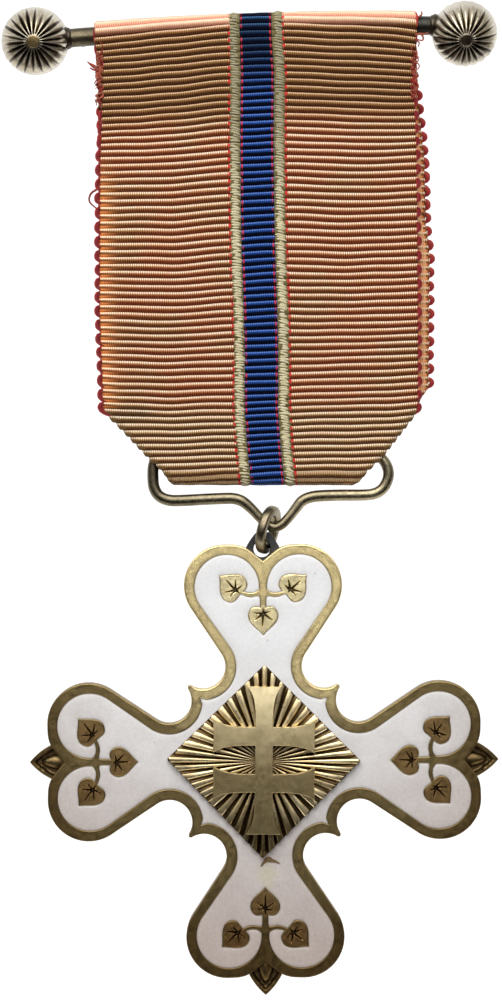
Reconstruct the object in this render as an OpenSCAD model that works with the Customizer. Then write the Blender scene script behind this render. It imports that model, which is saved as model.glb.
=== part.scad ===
// Cross-shaped medal on a looped ribbon.
// Millimetres. The front faces -Y, +Z is up, and the origin is on the axis of the bar, at mid-ribbon.

/* [Bar and pin] */
// Diameter of the bar that the ribbon loops over
bar_d = 2.0; // [1.6:0.1:2.2]
// Radius to which the bar is bent
bar_bend_r = 404; // [300:1:600]
// How far right of the middle the bent bar is highest
bar_top_x = 13.5; // [0:0.1:16]
// Distance from the middle to the centre of the left knob
left_knob_x = 23.7; // [23:0.1:26]
// Distance from the middle to the centre of the right knob
right_knob_x = 22.6; // [22:0.1:26]
// Diameter of the left knob
left_knob_d = 7.3; // [6:0.1:8]
// Diameter of the right knob
right_knob_d = 7.05; // [6:0.1:8]
// How far below the bar's axis the centre of the right knob lies
right_knob_drop = 0.94; // [0:0.02:1.2]
// How far the pole of the left knob tips down, in degrees
left_knob_tip = 9; // [0:1:25]
// How far the pole of the right knob tips down, in degrees
right_knob_tip = 18; // [0:1:25]
// Number of flutes round each knob
flutes = 22; // [16:1:24]
// Depth of the flutes
flute_depth = 0.4; // [0.2:0.05:0.6]
// Diameter of the pin wire
pin_d = 0.9; // [0.7:0.1:1.0]
// Diameter of the posts that hold the pin
post_d = 1.0; // [1:0.1:1.2]
// Distance of the pin behind the bar
pin_back = 3.7; // [3.4:0.1:5]

/* [Ribbon] */
// Thickness of the ribbon's wall
ribbon_wall = 1.0; // [1:0.1:1.2]
// Height of the loop's lower edge below the bar
ribbon_drop = 49.4; // [48.8:0.1:49.6]
// Space between the ribbon and the bar or wire inside it
ribbon_clear = 0.1; // [0.08:0.01:0.15]

/* [Hanger and ring] */
// Diameter of the hanger's wire
hanger_d = 1.15; // [1:0.05:1.2]
// Diameter of the jump ring's wire
ring_wire_d = 1.15; // [1:0.05:1.2]
// Outer diameter of the jump ring
ring_d = 5.4; // [5.3:0.05:5.5]
// How far the ring is turned from the fore-and-aft plane, in degrees
ring_twist = 18; // [0:1:20]
// How far the top of the ring leans to the right, in degrees
ring_lean = 14.2; // [12:0.1:15]

/* [Cross] */
// Reach of the lobes from the middle of the cross
lobe_reach = 23.3; // [23.2:0.05:23.4]
// Radius of the round lobes
lobe_r = 4.41; // [4.3:0.01:4.5]
// Distance of a lobe's centre from the arm's centre line
lobe_side = 4.1; // [4:0.05:4.2]
// Radius of the round hollows between the arms
hollow_r = 2.5; // [2.3:0.05:2.55]
// Width of the raised rims
rim_w = 1.08; // [0.9:0.01:1.2]
// Width of the stems between the leaves
stem_w = 0.62; // [0.5:0.02:0.8]
// Width of the thin branches to the side leaves
branch_w = 0.48; // [0.4:0.02:0.6]
// Width of a leaf
leaf_w = 3.2; // [2.8:0.1:3.4]
// Length of a leaf
leaf_l = 2.75; // [2.4:0.05:3]
// Thickness of the body behind the middle plane
body_back = 1.1; // [0.9:0.1:1.4]
// Height of the rims in front of the middle plane
body_front = 1.2; // [1.1:0.1:1.4]
// Depth of the recess that holds the enamel
recess = 0.6; // [0.4:0.05:0.8]
// Reach of the leaf-shaped points from the middle of the cross
point_reach = 25.25; // [25:0.05:25.6]
// Diameter of the hole in the eye
eye_hole_d = 1.8; // [1.75:0.05:1.9]
// Thickness of the eye
eye_t = 1.0; // [0.8:0.1:1]
// Height of the eye's rounded top above the centre of its hole
eye_top = 2.12; // [1.9:0.02:2.14]

/* [Plaque and double cross] */
// Half of the plaque's diagonal
plaque_reach = 10.3; // [9.5:0.1:10.6]
// Thickness of the plaque at the crests of its rays
plaque_t = 1.0; // [0.8:0.1:1.2]
// Rays in a quarter of the plaque
rays = 11; // [8:1:14]
// Height of the double-barred cross
double_h = 15.8; // [14:0.1:16.4]
// Width of the double-barred cross
double_w = 11.06; // [10:0.1:12]
// Distance between its two bars
double_gap = 5.16; // [4.6:0.02:5.6]
// Width of its limbs where they are narrowest
double_waist = 2.04; // [1.8:0.02:2.4]
// Width of its limbs at their ends
double_end = 3.55; // [3:0.05:4]
// How far above the middle of the cross its middle is
double_lift = 0.25; // [0:0.05:0.4]
// Thickness of the double-barred cross
double_t = 1.0; // [0.8:0.1:1.2]

/* [Hidden] */
$fn = 64;

// Space between pieces that are set against each other
seat = 0.05;
// How far one shape runs into the next so that they join cleanly
seam = 0.03;
// How far a cutting shape reaches past the face that it opens
cut_past = 1;

// Centre of the bar's bend, and the bar's height at any place along it
bar_centre_z = -sqrt(bar_bend_r * bar_bend_r - bar_top_x * bar_top_x);
function bar_z(x) = bar_centre_z + sqrt(bar_bend_r * bar_bend_r - (x - bar_top_x) * (x - bar_top_x));
function bar_slope(x) = -asin((x - bar_top_x) / bar_bend_r);
// How far inside each knob the bar stops, from the knob's centre, and the space round it there
bar_stop = 1.2;
bore_clear = 0.08;
// The flutes: how sharp they are, where they begin beyond the button and over what run they open, and the
// least share of their depth
groove_sharp = 3;
groove_from = 0.2;
groove_run = 0.25;
groove_least = 0.15;
// Places of the two posts, between ribbon and knob
post_left_x = -18.75;
post_right_x = 18.3;
// How far the posts reach past the pin's nominal distance, and how far before it the pin's middle line is
post_past = 0.2;
pin_before = 0.35;

// Corners of the hanger's wire in the X-Z plane, each with its bend radius, clockwise from the top left
hanger_corners = [
    // x, z, bend radius
    [-11.0, -45.8, 1.4],
    [14.0, -45.8, 1.4],
    [14.4, -50.5, 1.3],
    [5.25, -50.75, 2.6],
    [2.07, -54.08, 2.0],
    [-1.85, -50.8, 2.6],
    [-11.0, -51.0, 1.4],
];
hanger_sides = 12;
bend_steps = 7;

// Middle line of the ring's wire, and the joints' places
ring_r = (ring_d - ring_wire_d) / 2;
eye_x = 0.9;
eye_z = -56.24;
cross_x = 0.99;
// Distance of the eye's hole from the middle of the cross
eye_along = 22.8;
cross_z = eye_z - eye_along;

// Centres of a lobe and of a hollow in an arm's own frame, the arm along +Y
lobe_c = [lobe_side, lobe_reach - lobe_r];
hollow_c = [6.54, 10.2];
// Tip of the cusp between two arms, on the diagonal
cusp = 8.15;
// Bottom of the notch between the lobes, and the shoulder beside it
notch = [0, 21.54];
shoulder = [2.08, 23.05];
shoulder_end = [3.6, lobe_reach - seam];
// The enamel's lobes lie a little nearer to the arm's centre line than the brass ones
enamel_lobe_c = [3.9, 18.75];
enamel_lobe_r = 3.5;
enamel_top = [0, 18.5];
enamel_cusp = 7.2;

// Where the stem meets the middle leaf and the branches
leaf_base = 16.3;
fork = 18.35;
// Side leaf: place of its base and the way it points from the arm's centre line
side_leaf_at = [2.65, 18.0];
side_leaf_turn = -48;
// Shares of a leaf's width: radius of its two lobes, and their centres' distance aside and up from its base
leaf_lobe = 0.27;
leaf_spread = 0.23;
leaf_rise = 0.17;
// How much further than its sides the pointed tip moves when a leaf is grown
tip_grow = 1.4;
// How far the stem runs past its two ends, and a branch behind its start and past its end
stem_past = 0.5;
branch_behind = 0.1;
branch_past = 0.3;

// Round edges of a point: radius, and the centres' distance aside
point_r = 6.9;
point_side = 4.39;
point_from = 20.5;
point_front = 0.5;
point_back = 1.1;
point_rim = 0.55;
point_groove = 0.6;
point_recess = 0.35;
// Side of the square that cuts a point off below its start
point_box = 6;

// Height of the plaque's valleys below its crests
ray_depth = 0.45;

// The ribbon's edges at several heights: a row is z, left x, right x
front_rows = [
    [-4, -16.85, 17.45],
    [-8, -16.85, 17.5],
    [-14, -17.1, 17.7],
    [-30, -17.2, 18.0],
    [-40.9, -16.8, 18.15],
    [-41.6, -16.1, 17.5],
    [-43.4, -14.25, 16.0],
    [-46.6, -11.3, 13.5],
    [-47.7, -10.4, 12.6],
];
back_rows = [
    [-4, -17.1, 17.6],
    [-8, -17.0, 18.4],
    [-14, -16.8, 19.3],
    [-30, -16.7, 19.4],
    [-39.4, -16.5, 19.3],
    [-41.6, -15.9, 17.5],
    [-43.4, -14.25, 16.0],
    [-46.6, -11.3, 13.5],
    [-47.7, -10.4, 12.6],
];
loop_top_edges = [-17.42, 17.4];
loop_end_edges = [-8.8, 10.6];
// How much wider than that the loop is where its lower end meets the two flat sides
loop_end_widen = [1.4, 1.7];
loop_steps = 8;
ribbon_columns = 6;

// Shapes in the plane

// Angle from a lobe's centre to the place where the straight flank leaves it
function flank_angle(a, ra, b, rb) =
    let (d = b - a) atan2(d[1], d[0]) + acos((ra + rb) / norm(d));
function on_circle(c, r, angle) = c + r * [cos(angle), sin(angle)];
function flip(p) = [-p[0], p[1]];
function turn(p, angle) =
    [p[0] * cos(angle) - p[1] * sin(angle), p[0] * sin(angle) + p[1] * cos(angle)];

// Right half of an arm's outline from its centre line to the cusp
function half_arm(head, lobe, rl, rh, tip) =
    let (angle = flank_angle(lobe, rl, hollow_c, rh))
    concat(head, [
        lobe,
        on_circle(lobe, rl - seam, angle),
        on_circle(hollow_c, rh - seam, angle + 180),
        hollow_c,
        [tip, tip],
    ]);

// All four arms as one outline, with round lobes added and round hollows cut
module four_arms(head, lobe, rl, rh, tip) {
    half = half_arm(head, lobe, rl, rh, tip);
    last = len(half) - 1;
    arm = concat([for (i = [last : -1 : 0]) half[i]], [for (i = [1 : last - 1]) flip(half[i])]);
    difference() {
        union() {
            polygon([for (k = [0 : 3], p = arm) turn(p, 90 * k)]);
            for (k = [0 : 3], side = [-1, 1])
                rotate(90 * k) translate([side * lobe[0], lobe[1]]) circle(rl);
        }
        for (k = [0 : 3], side = [-1, 1])
            rotate(90 * k) translate([side * hollow_c[0], hollow_c[1]]) circle(rh);
    }
}

module cross_outline() {
    four_arms([notch, shoulder, shoulder_end], lobe_c, lobe_r, hollow_r, cusp);
}

// A heart-shaped leaf with its base at the origin and its tip along +Y
module leaf(grow) {
    r = leaf_w * leaf_lobe + grow;
    side = leaf_w * leaf_spread;
    up = leaf_w * leaf_rise;
    tip = [0, leaf_l + grow * tip_grow];
    away = tip - [side, up];
    angle = atan2(away[1], away[0]) - acos(r / norm(away));
    touch = on_circle([side, up], r - seam / 2, angle);
    polygon([tip, flip(touch), [-side, up], [0, -grow], [side, up], touch]);
    for (s = [-1, 1])
        translate([s * side, up]) circle(r);
}

// Stem, branches and leaves of one arm, grown by a given amount
module sprig(grow) {
    translate([-stem_w / 2 - grow, leaf_base - stem_past])
        square([stem_w + 2 * grow, enamel_top[1] - leaf_base + 2 * stem_past]);
    translate([0, leaf_base]) rotate(180) leaf(grow);
    for (side = [-1, 1]) {
        reach = side_leaf_at - [0, fork];
        mirror([side < 0 ? 1 : 0, 0]) {
            translate([0, fork]) rotate(atan2(reach[1], reach[0]))
                translate([-branch_behind, -branch_w / 2 - grow])
                    square([norm(reach) + branch_behind + branch_past, branch_w + 2 * grow]);
            translate(side_leaf_at) rotate(side_leaf_turn) leaf(grow);
        }
    }
}

// The field of enamel, drawn in from the brass by a given amount
module enamel_field(inset) {
    difference() {
        four_arms([enamel_top], enamel_lobe_c, enamel_lobe_r - inset, hollow_r + rim_w + inset, enamel_cusp);
        for (k = [0 : 3])
            rotate(90 * k) sprig(inset);
    }
}

// A pointed leaf tip along +Y, drawn in by a given amount
module point_outline(inset) {
    along = point_reach - sqrt(point_r * point_r - point_side * point_side);
    intersection() {
        translate([-point_side, along]) circle(point_r - inset);
        translate([point_side, along]) circle(point_r - inset);
        translate([-point_box / 2, point_from]) square(point_box);
    }
}

// Stands a shape of the X-Y plane up in the X-Z plane, from a front to a back value of Y
module stand(front, back) {
    translate([0, back, 0]) rotate([90, 0, 0]) linear_extrude(back - front) children();
}

module place_cross() {
    translate([cross_x, 0, cross_z]) children();
}

// Sub-parts

module bar() {
    left = asin((left_knob_x - bar_stop + bar_top_x) / bar_bend_r);
    right = asin((right_knob_x - bar_stop - bar_top_x) / bar_bend_r);
    left_z = bar_z(post_left_x);
    right_z = bar_z(post_right_x);
    run = post_right_x - post_left_x;
    fall = atan2(left_z - right_z, run);
    over = 0.9;
    color([0.42, 0.36, 0.24]) {
        translate([bar_top_x, 0, bar_centre_z]) rotate([90, 0, 0]) rotate([0, 0, 90 - right])
            rotate_extrude(angle = left + right) translate([bar_bend_r, 0]) circle(d = bar_d);
        for (x = [post_left_x, post_right_x])
            translate([x, 0, bar_z(x)]) rotate([-90, 0, 0]) cylinder(h = pin_back + post_past, d = post_d);
        translate([post_left_x, pin_back - pin_before, left_z]) rotate([0, 90 + fall, 0])
            translate([0, 0, -over]) cylinder(h = run + 2 * over, d = pin_d);
    }
}

// Radius of a fluted ball: grooves open beyond the button at the pole and die out at the waist
function groove(longitude, colatitude) =
    let (
        wave = pow(abs(cos(longitude * flutes / 2)), groove_sharp),
        opening = max(0, min(1, (sin(colatitude) - groove_from) / groove_run)),
        fading = max(groove_least, cos(colatitude) * cos(colatitude))
    ) flute_depth * wave * opening * fading;

function knob_point(r, longitude, colatitude) =
    let (q = r - groove(longitude, colatitude))
    [q * sin(colatitude) * cos(longitude), -q * cos(colatitude), q * sin(colatitude) * sin(longitude)];

module fluted_ball(d) {
    around = flutes * 4;
    rows = [9, 13, 20, 30, 42, 56, 72, 90, 108, 124, 138, 150, 160, 167, 171];
    count = len(rows);
    points = concat(
        [[0, -d / 2, 0]],
        [for (row = rows, i = [0 : around - 1]) knob_point(d / 2, i * 360 / around, row)],
        [[0, d / 2, 0]]
    );
    last = len(points) - 1;
    faces = concat(
        [for (i = [0 : around - 1]) [0, 1 + (i + 1) % around, 1 + i]],
        [for (k = [0 : count - 2], i = [0 : around - 1])
            let (a = 1 + k * around, n = (i + 1) % around)
            [a + i, a + n, a + around + n, a + around + i]],
        [for (i = [0 : around - 1])
            let (a = 1 + (count - 1) * around)
            [a + i, a + (i + 1) % around, last]]
    );
    polyhedron(points, faces);
}

// A knob with the bore that takes the bar's end
module knob(x, d, tip, inward, drop) {
    bore = bar_d + 2 * bore_clear;
    translate([x, 0, bar_z(x)]) {
        difference() {
            translate([0, 0, -drop]) rotate([tip, 0, 0]) fluted_ball(d);
            rotate([0, 90 - bar_slope(x), 0]) mirror([0, 0, inward < 0 ? 1 : 0])
                translate([0, 0, bar_stop - bore_clear]) cylinder(h = d, d = bore);
        }
    }
}

module knob_left() {
    color([0.66, 0.63, 0.55]) knob(-left_knob_x, left_knob_d, left_knob_tip, 1, 0);
}

module knob_right() {
    color([0.62, 0.59, 0.52]) knob(right_knob_x, right_knob_d, right_knob_tip, -1, right_knob_drop);
}

// Half of the space inside the loop, at the bar and at the hanger's top wire
half_top = bar_d / 2 + ribbon_clear;
half_end = hanger_d / 2 + ribbon_clear;
end_centre_z = -ribbon_drop + half_end + ribbon_wall;
function half_space(z) = half_end + (half_top - half_end) * (z - end_centre_z) / (0 - end_centre_z);

// Stations round the loop: y and z of the inner face, outward direction, left x, right x, share of the arch
function ribbon_stations() = concat(
    [for (i = [0 : loop_steps])
        let (a = 180 * i / loop_steps)
        [half_top * cos(a), half_top * sin(a), [cos(a), sin(a)], loop_top_edges[0], loop_top_edges[1], 1]],
    [for (row = front_rows)
        [-half_space(row[0]), row[0], [-1, 0], row[1], row[2], 1 + row[0] / ribbon_drop]],
    [for (i = [1 : loop_steps - 1])
        let (a = 180 + 180 * i / loop_steps)
        [half_end * cos(a), end_centre_z + half_end * sin(a), [cos(a), sin(a)],
            loop_end_edges[0] - loop_end_widen[0] * (1 - sin(180 * i / loop_steps)),
            loop_end_edges[1] + loop_end_widen[1] * (1 - sin(180 * i / loop_steps)), 0]],
    [for (i = [len(back_rows) - 1 : -1 : 0])
        let (row = back_rows[i])
        [half_space(row[0]), row[0], [1, 0], row[1], row[2], 1 + row[0] / ribbon_drop]]
);

function ribbon_point(s, j, out) =
    let (x = s[3] + (s[4] - s[3]) * j / ribbon_columns)
    [x, s[0] + s[2][0] * out, s[1] + s[2][1] * out + bar_z(x) * max(0, s[5])];

module ribbon() {
    stations = ribbon_stations();
    n = len(stations);
    m = ribbon_columns + 1;
    points = concat(
        [for (s = stations, j = [0 : ribbon_columns]) ribbon_point(s, j, 0)],
        [for (s = stations, j = [0 : ribbon_columns]) ribbon_point(s, j, ribbon_wall)]
    );
    skin = n * m;
    faces = concat(
        [for (i = [0 : n - 1], j = [0 : m - 2])
            let (a = i * m + j, b = ((i + 1) % n) * m + j) [a, b, b + 1, a + 1]],
        [for (i = [0 : n - 1], j = [0 : m - 2])
            let (a = skin + i * m + j, b = skin + ((i + 1) % n) * m + j) [a, a + 1, b + 1, b]],
        [for (i = [0 : n - 1])
            let (a = i * m, b = ((i + 1) % n) * m) [a, skin + a, skin + b, b]],
        [for (i = [0 : n - 1])
            let (a = i * m + m - 1, b = ((i + 1) % n) * m + m - 1) [a, b, skin + b, skin + a]]
    );
    color([0.62, 0.42, 0.3]) polyhedron(points, faces);
}

// One bend of the hanger: its points and, for each, the direction across the wire
function bend(k) =
    let (
        n = len(hanger_corners),
        p = hanger_corners[k],
        before = hanger_corners[(k + n - 1) % n],
        after = hanger_corners[(k + 1) % n],
        at = [p[0], p[1]],
        u = (at - [before[0], before[1]]) / norm(at - [before[0], before[1]]),
        v = ([after[0], after[1]] - at) / norm([after[0], after[1]] - at),
        side = u[0] * v[1] - u[1] * v[0] < 0 ? -1 : 1,
        turned = acos(u * v),
        start = at - u * p[2] * tan(turned / 2),
        centre = start + side * p[2] * [-u[1], u[0]],
        first = atan2(start[1] - centre[1], start[0] - centre[0])
    )
    [for (i = [0 : bend_steps])
        let (a = first + side * turned * i / bend_steps, out = [cos(a), sin(a)])
        [centre + p[2] * out, -side * out]];

module hanger() {
    rings = [for (k = [0 : len(hanger_corners) - 1]) each bend(k)];
    n = len(rings);
    r = hanger_d / 2;
    points = [for (ring = rings, i = [0 : hanger_sides - 1])
        let (a = (i + 0.5) * 360 / hanger_sides)
        [ring[0][0] + r * cos(a) * ring[1][0], r * sin(a), ring[0][1] + r * cos(a) * ring[1][1]]];
    faces = [for (k = [0 : n - 1], i = [0 : hanger_sides - 1])
        let (a = k * hanger_sides, b = ((k + 1) % n) * hanger_sides, j = (i + 1) % hanger_sides)
        [a + i, b + i, b + j, a + j]];
    color([0.45, 0.39, 0.27]) polyhedron(points, faces);
}

module jump_ring() {
    lean = [sin(ring_lean), 0, cos(ring_lean)];
    color([0.42, 0.37, 0.27])
        translate([eye_x, 0, eye_z] + ring_r * lean)
            rotate([0, ring_lean, 0]) rotate([0, 0, -ring_twist]) rotate([0, 90, 0])
                rotate_extrude() translate([ring_r, 0]) circle(d = ring_wire_d);
}

// Recess and raised bump of a point
module point_relief() {
    stand(-point_front - cut_past, -point_front + point_recess) difference() {
        point_outline(point_rim);
        point_outline(point_rim + point_groove);
    }
}

module cross_body() {
    color([0.6, 0.5, 0.29]) place_cross() {
        difference() {
            stand(-body_front, body_back) cross_outline();
            stand(-body_front - cut_past, -body_front + recess) enamel_field(0);
        }
        for (k = [1 : 3])
            rotate([0, 90 * k, 0]) difference() {
                stand(-point_front, point_back) point_outline(0);
                point_relief();
            }
        difference() {
            stand(-eye_t / 2, eye_t / 2) intersection() {
                point_outline(0);
                translate([0, eye_along]) circle(eye_top);
            }
            translate([eye_x - cross_x, 0, eye_along]) rotate([90, 0, 0])
                cylinder(h = eye_t + 2 * cut_past, d = eye_hole_d, center = true);
        }
    }
}

module enamel() {
    color([0.87, 0.86, 0.85]) place_cross()
        stand(-body_front + seat, -body_front + recess - seat) enamel_field(seat);
}

// Corner of the plaque's edge at a share of its way round, and the height of its face there
function plaque_edge(i) =
    let (
        total = rays * 8,
        quarter = floor(i / (rays * 2)),
        part = i / (rays * 2) - quarter,
        a = turn([0, plaque_reach], -90 * quarter),
        b = turn([0, plaque_reach], -90 * (quarter + 1))
    )
    i >= total ? plaque_edge(i - total) : a + (b - a) * part;

module plaque() {
    n = rays * 8;
    back = -body_front - seat;
    crest = back - plaque_t;
    points = concat(
        [[0, crest + ray_depth / 2, 0], [0, back, 0]],
        [for (i = [0 : n - 1])
            let (p = plaque_edge(i)) [p[0], crest + (i % 2 == 0 ? 0 : ray_depth), p[1]]],
        [for (i = [0 : n - 1]) let (p = plaque_edge(i)) [p[0], back, p[1]]]
    );
    faces = concat(
        [for (i = [0 : n - 1]) [0, 2 + (i + 1) % n, 2 + i]],
        [for (i = [0 : n - 1]) [1, 2 + n + i, 2 + n + (i + 1) % n]],
        [for (i = [0 : n - 1]) [2 + i, 2 + (i + 1) % n, 2 + n + (i + 1) % n, 2 + n + i]]
    );
    color([0.66, 0.6, 0.45]) place_cross() polyhedron(points, faces);
}

// One limb along +Y from the origin, waisted at its root and flared at its end
module limb(length) {
    root = double_waist / 2;
    flare = (double_end - double_waist) / 2;
    run = length - root;
    r = (run * run + flare * flare) / (2 * flare);
    difference() {
        translate([-double_end / 2, 0]) square([double_end, length]);
        for (side = [-1, 1])
            translate([side * (root + r), root]) circle(r);
        for (side = [-1, 1])
            translate([side * (double_end / 2 + root), root / 2])
                square([double_end, root + 2 * seam], center = true);
    }
}

module double_outline() {
    for (side = [-1, 1]) {
        translate([0, side * double_gap / 2]) {
            rotate(side > 0 ? 0 : 180) limb((double_h - double_gap) / 2);
            rotate(90) limb(double_w / 2);
            rotate(-90) limb(double_w / 2);
        }
    }
    square([double_waist, double_gap], center = true);
}

module double_cross() {
    back = -body_front - seat - plaque_t - seat;
    color([0.62, 0.5, 0.25]) place_cross() translate([0, 0, double_lift])
        stand(back - double_t, back) double_outline();
}

bar();
knob_left();
knob_right();
ribbon();
hanger();
jump_ring();
cross_body();
enamel();
plaque();
double_cross();
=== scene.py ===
import math
import random

import bmesh
import bpy
import numpy as np
from mathutils import Matrix, Vector
from mathutils.geometry import delaunay_2d_cdt


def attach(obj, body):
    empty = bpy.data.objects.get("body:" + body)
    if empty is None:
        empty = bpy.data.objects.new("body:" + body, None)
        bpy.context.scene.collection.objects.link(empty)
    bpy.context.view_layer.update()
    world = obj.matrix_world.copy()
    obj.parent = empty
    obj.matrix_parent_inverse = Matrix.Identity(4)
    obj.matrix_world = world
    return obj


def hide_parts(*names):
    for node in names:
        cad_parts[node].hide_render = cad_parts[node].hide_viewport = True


# Lengths are millimetres until a mesh is made. The front faces -Y and +Z is up.
MM = 0.001

# Places shared with the CAD model
BAR_BEND_R = 404.0
BAR_TOP_X = 13.5
RIGHT_KNOB_DROP = 0.79
CROSS_X, CROSS_Z = 0.99, -79.04
EYE_ALONG = 22.8
EYE_X, EYE_Z = 0.9, CROSS_Z + EYE_ALONG
BODY_FRONT, BODY_BACK = -1.2, 1.1

# Photograph: millimetres per picture height, and where the camera's axis meets the object
PICTURE_H = 107.53
AXIS_X, AXIS_Z = -0.43, -50.97
CAMERA_FAR = 340.0

# Points of a closed piece nearer than this are one point
JOINED = 0.004
# Distance between the rows of a triangular lattice, as a share of its step
ROW_SHARE = 0.866
# Points that are measured at a time, so that the tables stay small
AT_A_TIME = 1000

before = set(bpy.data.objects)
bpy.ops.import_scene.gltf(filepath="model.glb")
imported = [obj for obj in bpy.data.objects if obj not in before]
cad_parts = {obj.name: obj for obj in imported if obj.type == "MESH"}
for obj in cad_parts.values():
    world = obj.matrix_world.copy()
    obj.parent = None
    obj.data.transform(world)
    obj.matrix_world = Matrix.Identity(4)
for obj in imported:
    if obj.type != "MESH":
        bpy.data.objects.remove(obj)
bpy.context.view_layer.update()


# Small helpers

def bar_z(x):
    centre = -math.sqrt(BAR_BEND_R ** 2 - BAR_TOP_X ** 2)
    return centre + np.sqrt(BAR_BEND_R ** 2 - (np.asarray(x) - BAR_TOP_X) ** 2)


def smooth(t):
    t = np.clip(t, 0, 1)
    return t * t * (3 - 2 * t)


def arc(centre, radius, start, end, step=0.2):
    """Points on a circle from one angle to another, in degrees."""
    count = max(2, int(abs(math.radians(end - start)) * radius / step) + 1)
    angles = np.radians(np.linspace(start, end, count))
    return [(centre[0] + radius * math.cos(a), centre[1] + radius * math.sin(a)) for a in angles]


def curve_through(points, steps=6):
    """A smooth curve through the points."""
    p = [np.array(q, float) for q in points]
    p = [2 * p[0] - p[1]] + p + [2 * p[-1] - p[-2]]
    made = []
    for i in range(1, len(p) - 2):
        for k in range(steps):
            t = k / steps
            made.append(tuple(0.5 * (2 * p[i] + (p[i + 1] - p[i - 1]) * t
                                     + (2 * p[i - 1] - 5 * p[i] + 4 * p[i + 1] - p[i + 2]) * t * t
                                     + (3 * p[i] - p[i - 1] - 3 * p[i + 1] + p[i + 2]) * t ** 3)))
    return made + [tuple(p[-2])]


# Numbers that each point carries for the materials
MARKS = 6


class Shape:
    """Points, faces and six numbers for each point, which the materials read as two vectors."""

    def __init__(self):
        self.points, self.marks, self.faces = [], [], []

    def add(self, points, faces, marks=()):
        """Adds points and faces, with one row of marks for all points or a row for each."""
        base = sum(len(p) for p in self.points)
        points, marks = np.asarray(points, float).reshape(-1, 3), np.asarray(marks, float)
        full = np.zeros((len(points), MARKS))
        full[:, :marks.shape[-1]] = marks
        self.points.append(points)
        self.marks.append(full)
        self.faces += [[base + i for i in f] for f in faces]
        return self

    def band(self, rings, marks=()):
        """Adds the faces between closed loops of as many points."""
        return self.add(np.concatenate(rings), grid_faces(len(rings), len(rings[0]), False, True), marks)

    def cap(self, loops, y):
        """Adds a flat face inside the loops."""
        flat, faces = fill(loops)
        return self.add(stand(flat, y), faces)

    def join(self, other):
        return self.add(np.concatenate(other.points), other.faces, np.concatenate(other.marks))

    def moved(self, matrix):
        """Turns and moves all points by a 4x4 matrix."""
        m = np.array(matrix)
        self.points = [p @ m[:3, :3].T + m[:3, 3] for p in self.points]
        return self


def make_piece(name, shape, material, body, sharp=35, replaces=(), closed=False):
    """A mesh piece that rides on a body, shaded smooth between edges under the sharp angle.

    In a closed one, points that lie on each other are joined first.
    """
    mesh = bpy.data.meshes.new(name)
    mesh.from_pydata((np.concatenate(shape.points) * MM).tolist(), [], shape.faces)
    marks = np.concatenate(shape.marks).astype(np.float32)
    for k, label in enumerate(("mark", "shade")):
        mark = mesh.attributes.new(label, "FLOAT_VECTOR", "POINT")
        mark.data.foreach_set("vector", marks[:, 3 * k:3 * k + 3].ravel())
    work = bmesh.new()
    work.from_mesh(mesh)
    if closed:
        bmesh.ops.remove_doubles(work, verts=work.verts, dist=JOINED * MM)
    bmesh.ops.recalc_face_normals(work, faces=work.faces)
    work.to_mesh(mesh)
    work.free()
    mesh.shade_smooth()
    mesh.set_sharp_from_angle(angle=math.radians(sharp))
    made = bpy.data.objects.new(name, mesh)
    bpy.context.scene.collection.objects.link(made)
    mesh.materials.append(material)
    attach(made, body)
    if replaces:
        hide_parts(*replaces)
    return made


def grid_faces(rows, columns, close_rows=False, close_columns=False):
    faces = []
    for i in range(rows if close_rows else rows - 1):
        for j in range(columns if close_columns else columns - 1):
            a, b = i * columns, (i + 1) % rows * columns
            n = (j + 1) % columns
            faces.append([a + j, a + n, b + n, b + j])
    return faces


def tube(path, radius, sides=12, closed=False, squareness=2.0, across=(0.31, 0.9, 0.23)):
    """A tube along a path, closed into a ring or with rounded ends. Returns points and faces."""
    path = np.asarray(path, float)
    count = len(path)
    radius = np.broadcast_to(np.asarray(radius, float), (count,))
    if closed:
        along = np.roll(path, -1, 0) - np.roll(path, 1, 0)
    else:
        along = np.gradient(path, axis=0)
    along /= np.linalg.norm(along, axis=1)[:, None]
    side = np.array(across, float)
    angles = (np.arange(sides) + 0.5) * 2 * math.pi / sides
    cosines, sines = np.cos(angles), np.sin(angles)
    grow = (np.abs(cosines) ** squareness + np.abs(sines) ** squareness) ** (-1 / squareness)
    rings = []
    for i in range(count):
        side = side - along[i] * (side @ along[i])
        side /= np.linalg.norm(side)
        up = np.cross(along[i], side)
        rings.append(path[i] + radius[i] * grow[:, None] * (cosines[:, None] * side + sines[:, None] * up))
    if closed:
        return np.concatenate(rings), grid_faces(count, sides, True, True)
    # Beyond each end, how far out as a share of the radius, and how wide
    steps = ((0.8, 0.5), (0.45, 0.85))
    first = [path[0] - along[0] * radius[0] * out + (rings[0] - path[0]) * wide for out, wide in steps]
    last = [path[-1] + along[-1] * radius[-1] * out + (rings[-1] - path[-1]) * wide
            for out, wide in steps[::-1]]
    rings = first + rings + last
    top = (len(rings) - 1) * sides
    faces = grid_faces(len(rings), sides, False, True)
    faces += [list(range(sides - 1, -1, -1)), list(range(top, top + sides))]
    return np.concatenate(rings), faces


# Flat outlines in an arm's own plane: (across, along)

def side_normals(loop):
    """For each point of a closed loop, the direction to its left, longer at sharp corners."""
    p = np.asarray(loop, float)
    before, after = p - np.roll(p, 1, 0), np.roll(p, -1, 0) - p
    before /= np.maximum(np.linalg.norm(before, axis=1), 1e-9)[:, None]
    after /= np.maximum(np.linalg.norm(after, axis=1), 1e-9)[:, None]
    n1 = np.stack([-before[:, 1], before[:, 0]], 1)
    n2 = np.stack([-after[:, 1], after[:, 0]], 1)
    n = n1 + n2
    n /= np.maximum(np.linalg.norm(n, axis=1), 1e-9)[:, None]
    reach = 1 / np.maximum((n * n1).sum(1), 0.6)
    return n * reach[:, None]


def area_of(loop):
    p = np.asarray(loop, float)
    q = np.roll(p, -1, 0)
    return float((p[:, 0] * q[:, 1] - q[:, 0] * p[:, 1]).sum() / 2)


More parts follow.
